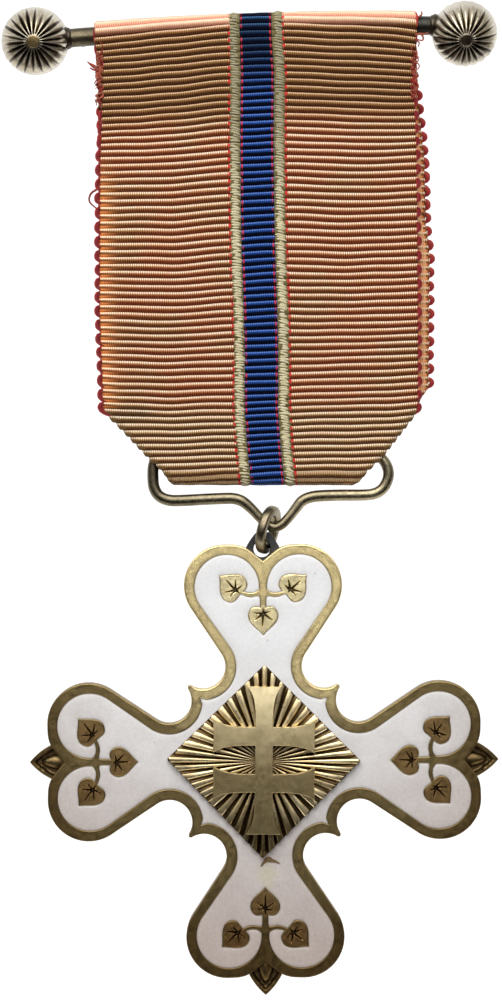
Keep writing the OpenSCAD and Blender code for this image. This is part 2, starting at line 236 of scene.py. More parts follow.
def inset(loop, by, scale=None):
    """The loop moved into its own inside by a distance, less where scale says so."""
    sign = 1 if area_of(loop) > 0 else -1
    shift = by if scale is None else by * np.asarray(scale)[:, None]
    return np.asarray(loop, float) + sign * shift * side_normals(loop)


def segments(loops):
    a = np.concatenate([np.asarray(loop, float) for loop in loops])
    b = np.concatenate([np.roll(np.asarray(loop, float), -1, 0) for loop in loops])
    return a, b


def distance_to(points, loops):
    """How far each point is from the nearest line of the loops."""
    a, b = segments(loops)
    d = b - a
    size = np.maximum((d * d).sum(1), 1e-12)
    points = np.asarray(points, float)
    best = np.empty(len(points))
    for i in range(0, len(points), AT_A_TIME):
        p = points[i:i + AT_A_TIME, None, :] - a[None]
        t = np.clip((p * d[None]).sum(2) / size, 0, 1)
        best[i:i + AT_A_TIME] = np.sqrt(((p - t[..., None] * d[None]) ** 2).sum(2)).min(1)
    return best


def is_inside(points, loops):
    """Whether each point is inside an odd number of loops."""
    a, b = segments(loops)
    points = np.asarray(points, float)
    found = np.empty(len(points), bool)
    for i in range(0, len(points), AT_A_TIME):
        x, y = points[i:i + AT_A_TIME, :1], points[i:i + AT_A_TIME, 1:]
        crosses = (a[:, 1] > y) != (b[:, 1] > y)
        with np.errstate(divide="ignore", invalid="ignore"):
            at = a[:, 0] + (y - a[:, 1]) / (b[:, 1] - a[:, 1]) * (b[:, 0] - a[:, 0])
        found[i:i + AT_A_TIME] = (crosses & (x < at)).sum(1) % 2 == 1
    return found


def lattice(low, high, step):
    """Points of a triangular lattice over a rectangle."""
    made = []
    rows = int((high[1] - low[1]) / (step * ROW_SHARE)) + 1
    for i in range(rows):
        y = low[1] + i * step * ROW_SHARE
        x = low[0] + (0.5 * step if i % 2 else 0)
        while x <= high[0]:
            made.append((x, y))
            x += step
    return made


def dots_inside(points, loops, gap):
    """Those of the points that are inside the loops and farther from them than the gap."""
    points = np.asarray(points, float)
    points = points[is_inside(points, loops)]
    return points[distance_to(points, loops) > gap]


def fill(loops, inner=()):
    """Triangles of the region inside the loops. Returns 2-D points, the loops' first, and triangles."""
    points, edges = [], []
    for loop in loops:
        base, count = len(points), len(loop)
        points += [tuple(p) for p in loop]
        edges += [(base + i, base + (i + 1) % count) for i in range(count)]
    points += [tuple(p) for p in inner]
    out, _, triangles, origins = delaunay_2d_cdt([Vector(p) for p in points], edges, [], 0, 1e-6)[:4]
    out, triangles = np.array([tuple(v) for v in out]), np.array([list(f) for f in triangles])
    came_from = {old: new for new, olds in enumerate(origins) for old in olds}
    sequence = list(dict.fromkeys([came_from[old] for old in range(len(points))] + list(range(len(out)))))
    order = np.argsort(sequence)
    keep = is_inside(out[triangles].mean(1), loops)
    return out[sequence], order[triangles[keep]].tolist()


def stand(flat, y):
    """2-D points (across, along) as 3-D points at the given y."""
    flat = np.asarray(flat, float)
    return np.stack([flat[:, 0], np.broadcast_to(y, (len(flat),)), flat[:, 1]], 1)


def four(half):
    """A loop round the middle from half an arm's outline, centre line first, diagonal last."""
    mirrored = [(-x, y) for x, y in half]
    arm = mirrored[::-1] + half[1:]
    loop = []
    for k in range(4):
        c, s = round(math.cos(-k * math.pi / 2)), round(math.sin(-k * math.pi / 2))
        turned = [(x * c - y * s, x * s + y * c) for x, y in arm]
        loop += turned[:-1]
    return loop


# Outlines of the cross

# Centre and radius of an arm's lobe and of the hollow beside it, width of the rim, and place of the cusp
LOBE, LOBE_R = (4.1, 18.89), 4.41
HOLLOW, HOLLOW_R = (6.54, 10.2), 2.42
RIM_W = 1.16
CUSP = 8.14
# How many degrees the cross and its middle hang askew
CROSS_ASKEW, MIDDLE_ASKEW = -0.4, 0.5
# Centre and radius of the enamel's lobe
FIELD_LOBE, FIELD_LOBE_R = (3.9, 18.75), 3.5
# Where the middle leaf's base lies along the arm, and the side leaf's base and turn
LEAF_BASE = 16.35
SIDE_LEAF, SIDE_LEAF_TURN = (2.6, 18.1), 48.0


def flank(a, ra, b, rb):
    """Angle at which the straight flank leaves the circle round a to touch the circle round b."""
    dx, dy = b[0] - a[0], b[1] - a[1]
    return math.degrees(math.atan2(dy, dx) + math.acos((ra + rb) / math.hypot(dx, dy)))


# Outline of the head, from the centre line to the lobe
HEAD = [(0, 21.54), (0.7, 22.1), (1.4, 22.66), (2.08, 23.05), (2.9, 23.25), (3.7, 23.29)]


def outer_half():
    angle = flank(LOBE, LOBE_R, HOLLOW, HOLLOW_R)
    lobe, hollow = arc(LOBE, LOBE_R, 92, angle), arc(HOLLOW, HOLLOW_R, 180 + angle, 303)
    return curve_through(HEAD, 4) + lobe + hollow + [(CUSP, CUSP)]


LEAF_HALF = [(0, 0), (0.3, -0.14), (0.75, -0.26), (1.2, -0.12), (1.5, 0.28), (1.6, 0.75),
             (1.45, 1.25), (1.12, 1.7), (0.72, 2.08), (0.36, 2.4), (0.0, 2.78)]


def placed(points, base, turn):
    """Points of a leaf's own frame as points of its arm."""
    t = math.radians(turn)
    p = np.asarray(points, float)
    return np.stack([base[0] + p[:, 0] * math.cos(t) + p[:, 1] * math.sin(t),
                     base[1] - p[:, 0] * math.sin(t) + p[:, 1] * math.cos(t)], 1)


def leaf_side(first, last, side, turn, base):
    """One side of a leaf's outline, between two of its points, placed in the arm."""
    line = [(side * x, y) for x, y in curve_through(LEAF_HALF, 3)]
    return [tuple(p) for p in placed(line[first:last], base, turn)]


# Edge of the stems that join the leaves: beside the middle one, under and over the side one
STEM = [(0.31, 16.8), (0.31, 17.3), (0.33, 17.62), (0.42, 17.76)]
STEM_UNDER = [(0.75, 17.76), (1.2, 17.66), (1.65, 17.7), (2.1, 17.86), (2.4, 18.0)]
STEM_OVER = [(2.12, 18.25), (1.75, 18.12), (1.3, 18.07), (0.9, 18.13), (0.58, 18.3)]
FIELD_CORNER = (6.85, 6.85)


def field_half():
    """Edge of the enamel from the middle leaf's tip round to the diagonal."""
    leaf_points = len(curve_through(LEAF_HALF, 3))
    middle = leaf_side(3, leaf_points, -1, 180, (0, LEAF_BASE))[::-1]
    outer = leaf_side(5, leaf_points, 1, SIDE_LEAF_TURN, SIDE_LEAF)
    inner = leaf_side(5, leaf_points - 1, -1, SIDE_LEAF_TURN, SIDE_LEAF)[::-1]
    angle = flank(FIELD_LOBE, FIELD_LOBE_R, HOLLOW, HOLLOW_R + RIM_W)
    lobe = arc(FIELD_LOBE, FIELD_LOBE_R, 184, angle)
    hollow = arc(HOLLOW, HOLLOW_R + RIM_W, 180 + angle, 264, 0.25)
    return middle + STEM + STEM_UNDER + outer + inner + STEM_OVER + lobe + hollow + [FIELD_CORNER]


LEAVES = [
    # place of the base, turn from the arm's direction
    ((0.0, LEAF_BASE), 180.0),
    (SIDE_LEAF, SIDE_LEAF_TURN),
    ((-SIDE_LEAF[0], SIDE_LEAF[1]), -SIDE_LEAF_TURN),
]
VEINS = [
    # from and to (across, along the leaf), half width at the start
    ((0.0, 0.42), (0.0, 1.85), 0.15),
    ((0.0, 0.5), (0.88, 1.12), 0.13),
    ((0.0, 0.5), (-0.88, 1.12), 0.13),
    ((0.0, 0.46), (0.85, 0.36), 0.11),
    ((0.0, 0.46), (-0.85, 0.36), 0.11),
    ((0.0, 0.5), (0.0, 0.02), 0.12),
]
VEIN_DEPTH = 0.3
# How broad the veins are on the top, right, bottom and left arm
VEIN_WIDE = (1.45, 1.0, 1.1, 1.05)


def turned(points, quarters):
    """2-D points turned by quarters of a circle."""
    c, s = round(math.cos(quarters * math.pi / 2)), round(math.sin(quarters * math.pi / 2))
    return np.stack([points[:, 0] * c - points[:, 1] * s, points[:, 0] * s + points[:, 1] * c], 1)


def out_of_leaf(points, k, base, turn):
    """Points of a leaf's own frame as points of the cross."""
    return turned(placed(points, base, turn), -k)


def into_leaf(points, k, base, turn):
    """Points of the cross as points of a leaf's own frame."""
    t = math.radians(turn)
    off = turned(points, k) - np.array(base)
    return np.stack([off[:, 0] * math.cos(t) - off[:, 1] * math.sin(t),
                     off[:, 0] * math.sin(t) + off[:, 1] * math.cos(t)], 1)


def leaf_dots():
    """Close points over all twelve leaves, for the relief of their veins."""
    box = np.array(lattice((-1.75, -0.35), (1.75, 2.9), 0.085))
    return np.concatenate([out_of_leaf(box, k, *leaf) for k in range(4) for leaf in LEAVES])


# Half the width of the box round a leaf, and where along the leaf it starts and ends
LEAF_BOX = (1.85, -0.45, 3.0)


def vein_depth(flat):
    """How deep the veins cut the leaves at each point, and whether it lies in a leaf's box."""
    mix = random.Random(11)
    depth, boxed = np.zeros(len(flat)), np.zeros(len(flat), bool)
    half_box, low, high = LEAF_BOX
    for k in range(4):
        for leaf in LEAVES:
            here = into_leaf(flat, k, *leaf)
            near = (np.abs(here[:, 0]) < half_box) & (here[:, 1] > low) & (here[:, 1] < high)
            boxed |= near
            here = here[near]
            for a, b, wide in VEINS:
                a = np.array(a) + [mix.uniform(-0.04, 0.04), mix.uniform(-0.04, 0.04)]
                d = np.array(b) + [mix.uniform(-0.12, 0.12), mix.uniform(-0.12, 0.12)] - a
                share = np.clip((here - a) @ d / (d @ d), 0, 1)
                gap = np.linalg.norm(here - a - share[:, None] * d, axis=1)
                half = wide * VEIN_WIDE[k] * mix.uniform(0.8, 1.15) * (1 - 0.65 * share)
                cut = VEIN_DEPTH * (1 - 0.45 * share) * np.clip(1.3 * (1 - gap / half), 0, 1)
                depth[near] = np.maximum(depth[near], cut)
    return depth, boxed


def cross_place(k=0, askew=CROSS_ASKEW):
    """Where a quarter of the cross goes; the whole hangs a touch askew, as in the photograph."""
    turn = k * math.pi / 2 + math.radians(askew)
    return Matrix.Translation((CROSS_X, 0, CROSS_Z)) @ Matrix.Rotation(turn, 4, "Y")


# How the outer edge is rounded: distance behind the face, and how far in from the outline
EDGE_ROUND = ((0.0, 0.16), (0.03, 0.06), (0.12, 0.0))
# The square that the lattices of points cover
CROSS_BOX = ((-24, -24), (24, 24))
# Nearer to a cusp than this the edge is rounded less
CUSP_REACH = 0.9
# Depth of the recess behind the front, before its bevel and at its floor
RECESS_EDGE, RECESS = 0.1, 0.5


def slab_edges(shape, loop, scale):
    """Rounded edge round the body: returns the flat loop where its front and back faces begin."""
    rings = [(BODY_FRONT + deep, by) for deep, by in EDGE_ROUND]
    rings += [(BODY_BACK - deep, by) for deep, by in EDGE_ROUND[::-1]]
    shape.band([stand(inset(loop, by, scale), y) for y, by in rings])
    return inset(loop, EDGE_ROUND[0][1], scale)


def brass_cross():
    """Rims, stems and leaves round the recess for the enamel, as one closed mesh."""
    shape = Shape()
    outline, field = four(outer_half()), four(field_half())
    corners = np.array([(sx * CUSP, sy * CUSP) for sx in (-1, 1) for sy in (-1, 1)])
    gap = np.min(np.linalg.norm(np.array(outline)[:, None] - corners[None], axis=2), axis=1)
    face_loop = slab_edges(shape, outline, np.clip(gap / CUSP_REACH, 0.12, 1))
    lip, low_lip = inset(field, -0.08), inset(field, -0.02)
    edges = [face_loop, lip]
    crown = np.array(lattice(*CROSS_BOX, 0.42))
    crown = dots_inside(crown[~vein_depth(crown)[1]], edges, 0.16)
    leafy = dots_inside(leaf_dots(), edges, 0.06)
    flat, faces = fill(edges, crown.tolist() + leafy.tolist())
    first = len(face_loop) + len(lip)
    cut, leafed = vein_depth(flat)
    cut[:first] = 0
    wobble = np.sin(flat[:, 0] * 1.7 + 0.6 * np.cos(flat[:, 1] * 1.3)) * np.cos(flat[:, 1] * 1.9)
    y = BODY_FRONT + cut
    y[first:] += 0.012 * wobble[first:]
    # Depth of the veins, distance from the edges, and which arm's leaf: 1 for the top arm, -1 for the others
    leaf = np.where(leafed, np.where(flat[:, 1] > LEAF_BASE - 4, 1.0, -1.0), 0.0)
    gap = np.minimum(distance_to(flat, [lip]), distance_to(flat, [face_loop]))
    shape.add(stand(flat, y), faces, np.stack([cut / VEIN_DEPTH, gap, leaf], 1))
    shape.band([stand(lip, BODY_FRONT), stand(low_lip, BODY_FRONT + 0.035),
                stand(field, BODY_FRONT + RECESS_EDGE), stand(field, BODY_FRONT + RECESS)])
    shape.cap([field], BODY_FRONT + RECESS)
    shape.cap([face_loop], BODY_BACK)
    return shape.moved(cross_place())


# Back of the enamel, its front at the very edge, how much the front rises, and over what distance
ENAMEL_BACK, ENAMEL_EDGE, ENAMEL_RISE, ENAMEL_SOFT = -0.74, -1.075, 0.075, 0.16


def enamel_sheet():
    """The enamel: a smooth field, a little lower where it meets the metal."""
    rim = inset(four(field_half()), 0.012)
    body = dots_inside(lattice(*CROSS_BOX, 0.55), [rim], 0.45)
    near = dots_inside(lattice(*CROSS_BOX, 0.2), [rim], 0.07)
    near = near[distance_to(near, [rim]) < 0.35]
    flat, faces = fill([rim], np.concatenate([near, body]).tolist())
    gap = distance_to(flat, [rim])
    rise = 1 - np.exp(-gap / ENAMEL_SOFT)
    wobble = np.sin(flat[:, 0] * 0.9 + 1.1 * np.sin(flat[:, 1] * 0.7)) * np.cos(flat[:, 1] * 1.1 + 0.4)
    y = ENAMEL_EDGE - ENAMEL_RISE * rise + 0.008 * wobble * rise
    shape = Shape().add(stand(flat, y), faces, gap[:, None])
    shape.band([stand(rim, y[:len(rim)]), stand(rim, ENAMEL_BACK)])
    shape.cap([rim], ENAMEL_BACK)
    return shape.moved(cross_place())


# The three leaf-shaped points, and the eye

# Radius of the circles of a point's outline, how far their centres are to the side and along the arm, and
# where the point starts
POINT_R, POINT_SIDE, POINT_ALONG, POINT_FROM = 6.9, 4.39, 19.93, 20.5


def point_loop():
    """Outline of a leaf-shaped point, between two circles, from its inner end out to the tip and back."""
    angle = math.degrees(math.asin((POINT_FROM - POINT_ALONG) / POINT_R))
    top = math.degrees(math.acos(POINT_SIDE / POINT_R))
    side = arc((-POINT_SIDE, POINT_ALONG), POINT_R, angle, top, 0.15)
    return side + [(-x, y) for x, y in side[-2::-1]]


# A point from front to back: the nearest y where its outline may start, then its rear bevel and its back
POINT_RIM, POINT_EDGE, POINT_BACK = -0.44, 0.98, 1.04
# Width of a point's border and of the slope inside it, then the middle of its bump along the arm, how far the
# bump reaches outward and inward, its half width and its height
BORDER, BORDER_SLOPE = 0.36, 0.26
BUMP_ALONG, BUMP_OUT, BUMP_IN, BUMP_WIDE, BUMP_HIGH = 22.2, 1.75, 1.15, 0.85, 0.62


def point_height(flat, loop):
    """Y of a point's relief, how dark each place is, and how far it is from the edge."""
    gap = distance_to(flat, [loop])
    open_end = flat[:, 1] < POINT_FROM + 0.6
    gap = np.where(open_end, np.maximum(gap, 2.4 - np.abs(flat[:, 0])), gap)
    ground = smooth((gap - BORDER) / BORDER_SLOPE)
    up = flat[:, 1] - BUMP_ALONG
    wide = BUMP_WIDE - 0.16 * np.clip(up, 0, 2)
    r = np.sqrt((flat[:, 0] / wide) ** 2 + (up / np.where(up > 0, BUMP_OUT, BUMP_IN)) ** 2)
    y = -0.5 + 0.5 * ground - BUMP_HIGH * np.sqrt(np.clip(1 - r ** 2, 0, 1))
    return y, ground * (r > 0.85), gap


def relief_point():
    loop = point_loop()
    top = inset(loop, 0.07)
    dots = dots_inside(lattice((-3, 20), (3, 26), 0.12), [top], 0.07)
    flat, faces = fill([top], dots.tolist())
    y, dark, gap = point_height(flat, loop)
    shape = Shape().add(stand(flat, y), faces, np.stack([dark, gap], 1))
    rim = y[:len(top)]
    shape.band([stand(top, rim), stand(loop, np.maximum(rim + 0.06, POINT_RIM)), stand(loop, POINT_EDGE),
                stand(top, POINT_BACK)])
    return shape.cap([top], POINT_BACK)


# Radius of the plate round the eye and of its hole, half its thickness, and the bevels of both edges
EYE_R, EYE_HOLE_R, EYE_HALF = 1.88, 0.9, 0.5
EYE_BEVEL, HOLE_BEVEL = 0.08, 0.1


def eye_plate():
    """The plate round the eye, cut off along the sides of a leaf-shaped point."""
    shape, loop = Shape(), []
    for x, y in arc((0, EYE_ALONG), EYE_R, -62, 242, 0.15):
        bound = math.sqrt(max(POINT_R ** 2 - (y - POINT_ALONG) ** 2, 0)) - POINT_SIDE
        loop.append((max(-bound, min(bound, x)), y))
    hole = arc((EYE_X - CROSS_X, EYE_ALONG), EYE_HOLE_R, 360, 0, 0.12)[:-1]
    top, top_hole = inset(loop, EYE_BEVEL), inset(hole, -HOLE_BEVEL)
    for y, toward in ((-EYE_HALF, 1), (EYE_HALF, -1)):
        shape.cap([top, top_hole], y)
        shape.band([stand(top, y), stand(loop, y + EYE_BEVEL * toward)])
        shape.band([stand(top_hole, y), stand(hole, y + HOLE_BEVEL * toward)])
    shape.band([stand(loop, EYE_BEVEL - EYE_HALF), stand(loop, EYE_HALF - EYE_BEVEL)])
    return shape.band([stand(hole, HOLE_BEVEL - EYE_HALF), stand(hole, EYE_HALF - HOLE_BEVEL)])


# Plaque and double-barred cross

# Half the plaque's width and height, its back and the crests of its rays, how far it sits to the side, and
# how far its side corners are above its middle
PLAQUE_REACH, PLAQUE_TALL, PLAQUE_BACK, PLAQUE_CREST = 10.42, 10.4, -1.25, -2.0
PLAQUE_SHIFT, PLAQUE_SIDES = -0.05, 0.16
# Rays to a side
RAYS = 11
# Half the width of a ray's flat crest, as a share of the ray
CREST_HALF = 0.28
RAY_PROFILE = [
    # place within a ray, drop below its crest, how dark its painted shade is
    (-CREST_HALF, 0.07, 0.2), (-0.22, 0.02, 0.0), (-0.09, 0.0, 0.0), (0.09, 0.0, 0.0), (0.22, 0.02, 0.0),
    (CREST_HALF, 0.07, 0.2), (0.34, 0.3, 1.0), (0.5, 0.38, 1.0), (0.66, 0.3, 1.0),
]


def edge_of_square(share):
    """Point on the edge of the plaque at a share of the way round from its top corner."""
    corners = [(0, PLAQUE_TALL), (PLAQUE_REACH, PLAQUE_SIDES), (0, -PLAQUE_TALL),
               (-PLAQUE_REACH, PLAQUE_SIDES)]
    k = int(share * 4) % 4
    t = share * 4 - int(share * 4)
    a, b = corners[k], corners[(k + 1) % 4]
    return (a[0] + (b[0] - a[0]) * t, a[1] + (b[1] - a[1]) * t)


# Shares of the way from the middle to the edge where the rays have points
RAY_STEPS = (0.0, 0.08, 0.3, 0.55, 0.8, 0.975, 1.0)


def rayed_plaque():
    """Flat-topped rays with steep valleys darkened by painted shade, from the middle to the edge of a square
    on its corner.
    """
    mix = random.Random(5)
    places = []
    total = RAYS * 4
    for i in range(total):
        middle = i + mix.uniform(-0.015, 0.015)
        lift, tilt, wide = mix.uniform(-0.04, 0.04), mix.uniform(-0.07, 0.07), mix.uniform(0.85, 1.08)
        for at, drop, dark in RAY_PROFILE:
            if abs(at) <= CREST_HALF:
                places.append(((middle + at * wide) / total, drop + lift + tilt * at, dark))
            else:
                places.append(((middle + at) / total, drop + lift, dark))
    places.sort()
    count = len(places)
    rows, marks = [], []
    for r in RAY_STEPS:
        pull = 0.45 + 0.55 * smooth(r * 1.6)
        for share, drop, low in places:
            x, z = edge_of_square(share % 1)
            x, z = x * r * 0.995, z * r * 0.995
            rows.append((x, PLAQUE_CREST + 0.05 + drop * pull + (0.05 if r == 1.0 else 0), z))
            # Painted shade, a little near the top corner and more on the lower part
            above = 0.35 * smooth((z - 5.2 - 0.5 * abs(x)) / 1.5)
            below = smooth((-z - 3.6 - 0.45 * abs(x)) / 2.5)
            marks.append((low * (0.55 + 0.45 * smooth(r * 1.8)), r, max(above, below)))
    shape = Shape().add(rows, grid_faces(len(RAY_STEPS), count, False, True), marks)
    edge = [edge_of_square(share % 1) for share, _, _ in places]
    top, low = np.array(rows[-count:]), stand(edge, PLAQUE_BACK)
    # Painted shade on the side walls
    shape.band([top, stand(edge, top[:, 1] + 0.04), low], (1, 1, 0))
    shape.add(low, [list(range(count))])
    return shape.moved(Matrix.Translation((PLAQUE_SHIFT, 0, 0)) @ cross_place(0, MIDDLE_ASKEW))


# Height, width, distance between the level limbs and how far the whole sits above the cross's middle
DOUBLE_H, DOUBLE_W, DOUBLE_GAP, DOUBLE_LIFT = 15.67, 10.94, 5.02, 0.28
LOW_LIMB_MORE = 0.2
# Widths of a limb at its waist and at its ends
UPRIGHT, LEVEL = (1.93, 3.62, 3.76), (1.98, 3.6)
# How late the limbs flare, and how hollow their ends are
FLARE = 3.7
HOLLOW_END = 0.08
# How much its front falls back towards the ends: millimetres for each square millimetre
DOME = 0.0062


def limb_side(length, root, waist, end, steps=18):
    """(distance from the crossing, half width) along a limb that flares near its end."""
    shares = np.linspace(0, 1, steps) ** 0.7
    return [(root + (length - root) * t, waist / 2 + (end - waist) / 2 * t ** FLARE) for t in shares]


DOUBLE_FRONT, DOUBLE_BACK = -3.15, -2.1
# How its front edge is rounded: distance behind the front, and how far in from the outline
DOUBLE_ROUND = ((0.0, 0.07), (0.05, 0.015), (0.14, 0.0))


def double_loop():
    """Outline of the double-barred cross, whose ends are a little hollow."""
    waist, top_end, low_end = UPRIGHT
    reach = (DOUBLE_H - DOUBLE_GAP) / 2
    upright = limb_side(reach, LEVEL[0] / 2, waist, top_end)
    lowest = limb_side(reach + LOW_LIMB_MORE, LEVEL[0] / 2, waist, low_end)
    level = limb_side(DOUBLE_W / 2, waist / 2, *LEVEL)
    h = DOUBLE_GAP / 2
    hollow = DOUBLE_W / 2 - HOLLOW_END
    right = [(w, h + d) for d, w in upright[::-1]]
    right += [(d, h + w) for d, w in level[1:]] + [(hollow, h)]
    right += [(d, h - w) for d, w in level[::-1]]
    right += [(d, -h + w) for d, w in level] + [(hollow, -h)]
    right += [(d, -h - w) for d, w in level[:0:-1]]
    right += [(w, -h - d) for d, w in lowest]
    left = [(-x, z) for x, z in right[::-1]]
    top, low = (0, h + reach - HOLLOW_END / 2), (0, -h - reach - LOW_LIMB_MORE + HOLLOW_END / 2)
    return right + [low] + left + [top]


def double_barred():
    loop, stack = double_loop(), []
    for deep, by in DOUBLE_ROUND:
        flat = inset(loop, by)
        stack.append(stand(flat, DOUBLE_FRONT + deep + DOME * flat[:, 1] ** 2))
    shape = Shape().band(stack + [stand(loop, DOUBLE_BACK)])
    top = inset(loop, DOUBLE_ROUND[0][1])
    dots = dots_inside(lattice((-6, -8), (6, 8), 0.45), [top], 0.15)
    flat, faces = fill([top], dots.tolist())
    y = DOUBLE_FRONT + DOME * flat[:, 1] ** 2
    y[len(top):] += 0.008 * np.sin(flat[len(top):, 0] * 1.9) * np.cos(flat[len(top):, 1] * 1.3)
    shape.add(stand(flat, y), faces)
    shape.cap([loop], DOUBLE_BACK)
    return shape.moved(Matrix.Translation((-0.03, 0, DOUBLE_LIFT)) @ cross_place(0, MIDDLE_ASKEW))


# The spill of solder: its outline, where it lies in the cross, and its front and back
SOLDER = [(-1.0, -0.75), (-0.72, -0.25), (-0.5, 0.12), (-0.2, 0.35), (0.15, 0.3), (0.4, 0.1), (0.75, -0.05),
          (1.25, -0.5), (0.8, -0.4), (0.35, -0.32), (-0.1, -0.3), (-0.45, -0.42), (-0.7, -0.7)]
SOLDER_X, SOLDER_Z = 0.45, -10.6
SOLDER_FRONT, SOLDER_BACK = -1.215, -1.12


def solder_stain():
    """A small spill of solder under the plaque's lower corner."""
    mix = random.Random(3)
    loop = [(x + mix.uniform(-0.02, 0.02) + SOLDER_X, z + mix.uniform(-0.02, 0.02) + SOLDER_Z)
            for x, z in curve_through(SOLDER + SOLDER[:1], 4)[:-1]]
    top = inset(loop, 0.06)
    shape = Shape().cap([top], SOLDER_FRONT)
    shape.band([stand(top, SOLDER_FRONT), stand(loop, SOLDER_BACK)])
    shape.add(stand(loop, SOLDER_BACK), [list(range(len(loop)))])
    return shape.moved(cross_place())


# Knobs on the bar

# Flutes round a knob, columns of points to each, and how deep they are
FLUTES, FLUTE_COLUMNS, FLUTE_DEPTH = 22, 12, 0.42
# Angle from the pole, and the share of each flute darkened there by painted shade
VALLEYS = ((10, 0.8), (16, 0.66), (28, 0.5), (45, 0.4), (60, 0.31), (72, 0.15), (82, 0.0), (90, -0.1))
# Angles from the front pole where the ball has points, and where its flat button ends
KNOB_ROWS = [7, 9.2, 10.4, 11.5, 13, 15, 18, 22, *np.arange(26, 162, 4.2), 165, 172]
BUTTON_END = 11
# What differs from flute to flute: share of the depth, sideways bend, width of the valley's painted shade,
# how many degrees the shade reaches farther, and how dark it is
FLUTE_LIMITS = ((0.75, 1.1), (-0.12, 0.12), (0.72, 1.35), (-16, 9), (0.6, 1.0))
# The collar: how far along the bar each ring of it is, and its radius
COLLAR = ((0, 1.3), (0.2, 1.17), (0.38, 1.13), (0.46, 1.04))


def knob_shape(x, diameter, tip, inward, spin, drop=0.0):
    """A ball with sharp flutes, a flat button at its front pole, and a dark collar round the bar."""
    mix = random.Random(int(abs(x) * 10))
    r = diameter / 2
    around = FLUTES * FLUTE_COLUMNS
    deep, bend, wide, reach, strong = [[mix.uniform(*limit) for _ in range(FLUTES)] for limit in FLUTE_LIMITS]
    valley_angles, valley_shares = zip(*VALLEYS)
    points, marks = [], []
    for row in KNOB_ROWS:
        colat = math.radians(row)
        from_pole = min(row, 180 - row)
        button = row < BUTTON_END
        band = smooth((from_pole - 11.5) / 9) * max(0.0, math.cos(math.radians(from_pole))) ** 0.85
        for i in range(around):
            flute = i / FLUTE_COLUMNS
            k = int(flute + 0.5) % FLUTES
            off = abs(flute - round(flute)) * 2
            q = r - FLUTE_DEPTH * deep[k] * band * max(0.0, 1 - off / 0.72)
            q -= 0.04 * band * math.cos(min(1, off) * math.pi)
            if button:
                q = r - 0.02 + 0.07 * smooth(10.8 - row)
            lon = math.radians(i * 360 / around + spin) + bend[k] * 0.02
            out = q * math.sin(colat)
            points.append((out * math.cos(lon), -q * math.cos(colat), out * math.sin(lon)))
            # Painted shade in the flute valleys, most near the front pole, and on the ball's lower side
            valley = np.interp(min(90, max(10, from_pole - reach[k])), valley_angles, valley_shares) * wide[k]
            dark = strong[k] * smooth((valley - off) / 0.22 + 0.5)
            lower_shade = 0.6 * smooth((64 - from_pole) / 18) * smooth(0.6 - math.sin(lon))
            dark = 0.0 if button else max(dark, lower_shade)
            # Marks: painted shade, the button, and a painted reflection of the bright surroundings towards
            # the outline
            marks.append((dark, float(button), smooth((from_pole - 55) / 25)))
    faces = grid_faces(len(KNOB_ROWS), around, False, True)
    last = (len(KNOB_ROWS) - 1) * around
    faces += [list(range(around)), list(range(last, last + around))]
    ball = Shape().add(points, faces, marks)
    place = Matrix.Translation((x, 0, float(bar_z(x)) - drop))
    ball.moved(place @ Matrix.Rotation(math.radians(tip), 4, "X"))
    start = x + inward * (r - 0.3)
    path = [(start + inward * t, 0, float(bar_z(start + inward * t))) for t, _ in COLLAR]
    return ball.add(*tube(path, [wide for _, wide in COLLAR], 28), (0.9, 0, 0))


# Hanger and ring

WIRE_R = 0.575
HANGER_LINE = [
    # x, z, radius of the wire; once round from the middle of the upper run
    (1.5, -45.75, 0.575), (-4.5, -45.75, 0.575), (-9.4, -45.8, 0.575), (-10.5, -46.2, 0.58),
    (-10.95, -47.3, 0.6), (-11.0, -48.6, 0.61), (-10.85, -49.7, 0.62), (-10.3, -50.55, 0.62),
    (-9.3, -50.98, 0.63), (-7.9, -51.02, 0.63), (-5.6, -50.9, 0.63), (-3.3, -50.8, 0.63),
    (-2.2, -50.83, 0.62), (-1.3, -51.15, 0.61), (-0.4, -51.9, 0.57), (0.6, -52.95, 0.53),
    (1.35, -53.62, 0.525), (2.1, -53.93, 0.525), (2.9, -53.6, 0.525), (3.6, -52.9, 0.535),
    (4.35, -51.95, 0.57), (5.0, -51.15, 0.61), (5.8, -50.72, 0.62), (7.0, -50.52, 0.63),
    (9.3, -50.45, 0.63), (11.6, -50.43, 0.62), (12.8, -50.3, 0.62), (13.65, -49.85, 0.61),
    (14.2, -49.05, 0.6), (14.4, -48.1, 0.6), (14.15, -47.15, 0.59), (13.5, -46.35, 0.58),
    (12.5, -45.87, 0.575), (10.0, -45.77, 0.575), (6.0, -45.75, 0.575),
]
RING_R = 2.125
# How far the ring leans sideways and is twisted out of the view, in degrees
RING_LEAN, RING_TWIST = 14.2, -18


def hanger_wire():
    """The bent wire as a closed tube."""
    steps = 7
    line = curve_through(HANGER_LINE[-2:] + HANGER_LINE + HANGER_LINE[:2], steps)
    line = np.array(line[2 * steps:-2 * steps])
    return tube(stand(line[:, :2], 0.0), line[:, 2], 20, True, 2.2, (0, 1, 0))


def ring_path():
    """Points round the ring, and the axis it goes round."""
    lean = math.radians(RING_LEAN)
    centre = Vector((EYE_X + RING_R * math.sin(lean), 0, EYE_Z + RING_R * math.cos(lean)))
    turn = Matrix.Rotation(lean, 3, "Y") @ Matrix.Rotation(math.radians(RING_TWIST), 3, "Z")
    turn = turn @ Matrix.Rotation(math.pi / 2, 3, "Y")
    angles = [2 * math.pi * i / 72 for i in range(72)]
    line = [tuple(centre + turn @ Vector((RING_R * math.cos(a), RING_R * math.sin(a), 0))) for a in angles]
    return line, tuple(turn @ Vector((0, 0, 1)))


# Ribbon

# Rib pitch in the folded corners, down the front (z, pitch, read off the photograph) and at the back
PITCH = 0.742
FRONT_PITCH = [(0, 0.735), (-8, 0.745), (-14, 0.77), (-20, 0.8), (-28, 0.765), (-35, 0.778), (-38.5, 0.765),
               (-40, 0.71), (-44, 0.703), (-48, 0.675)]
BACK_PITCH = 0.7445
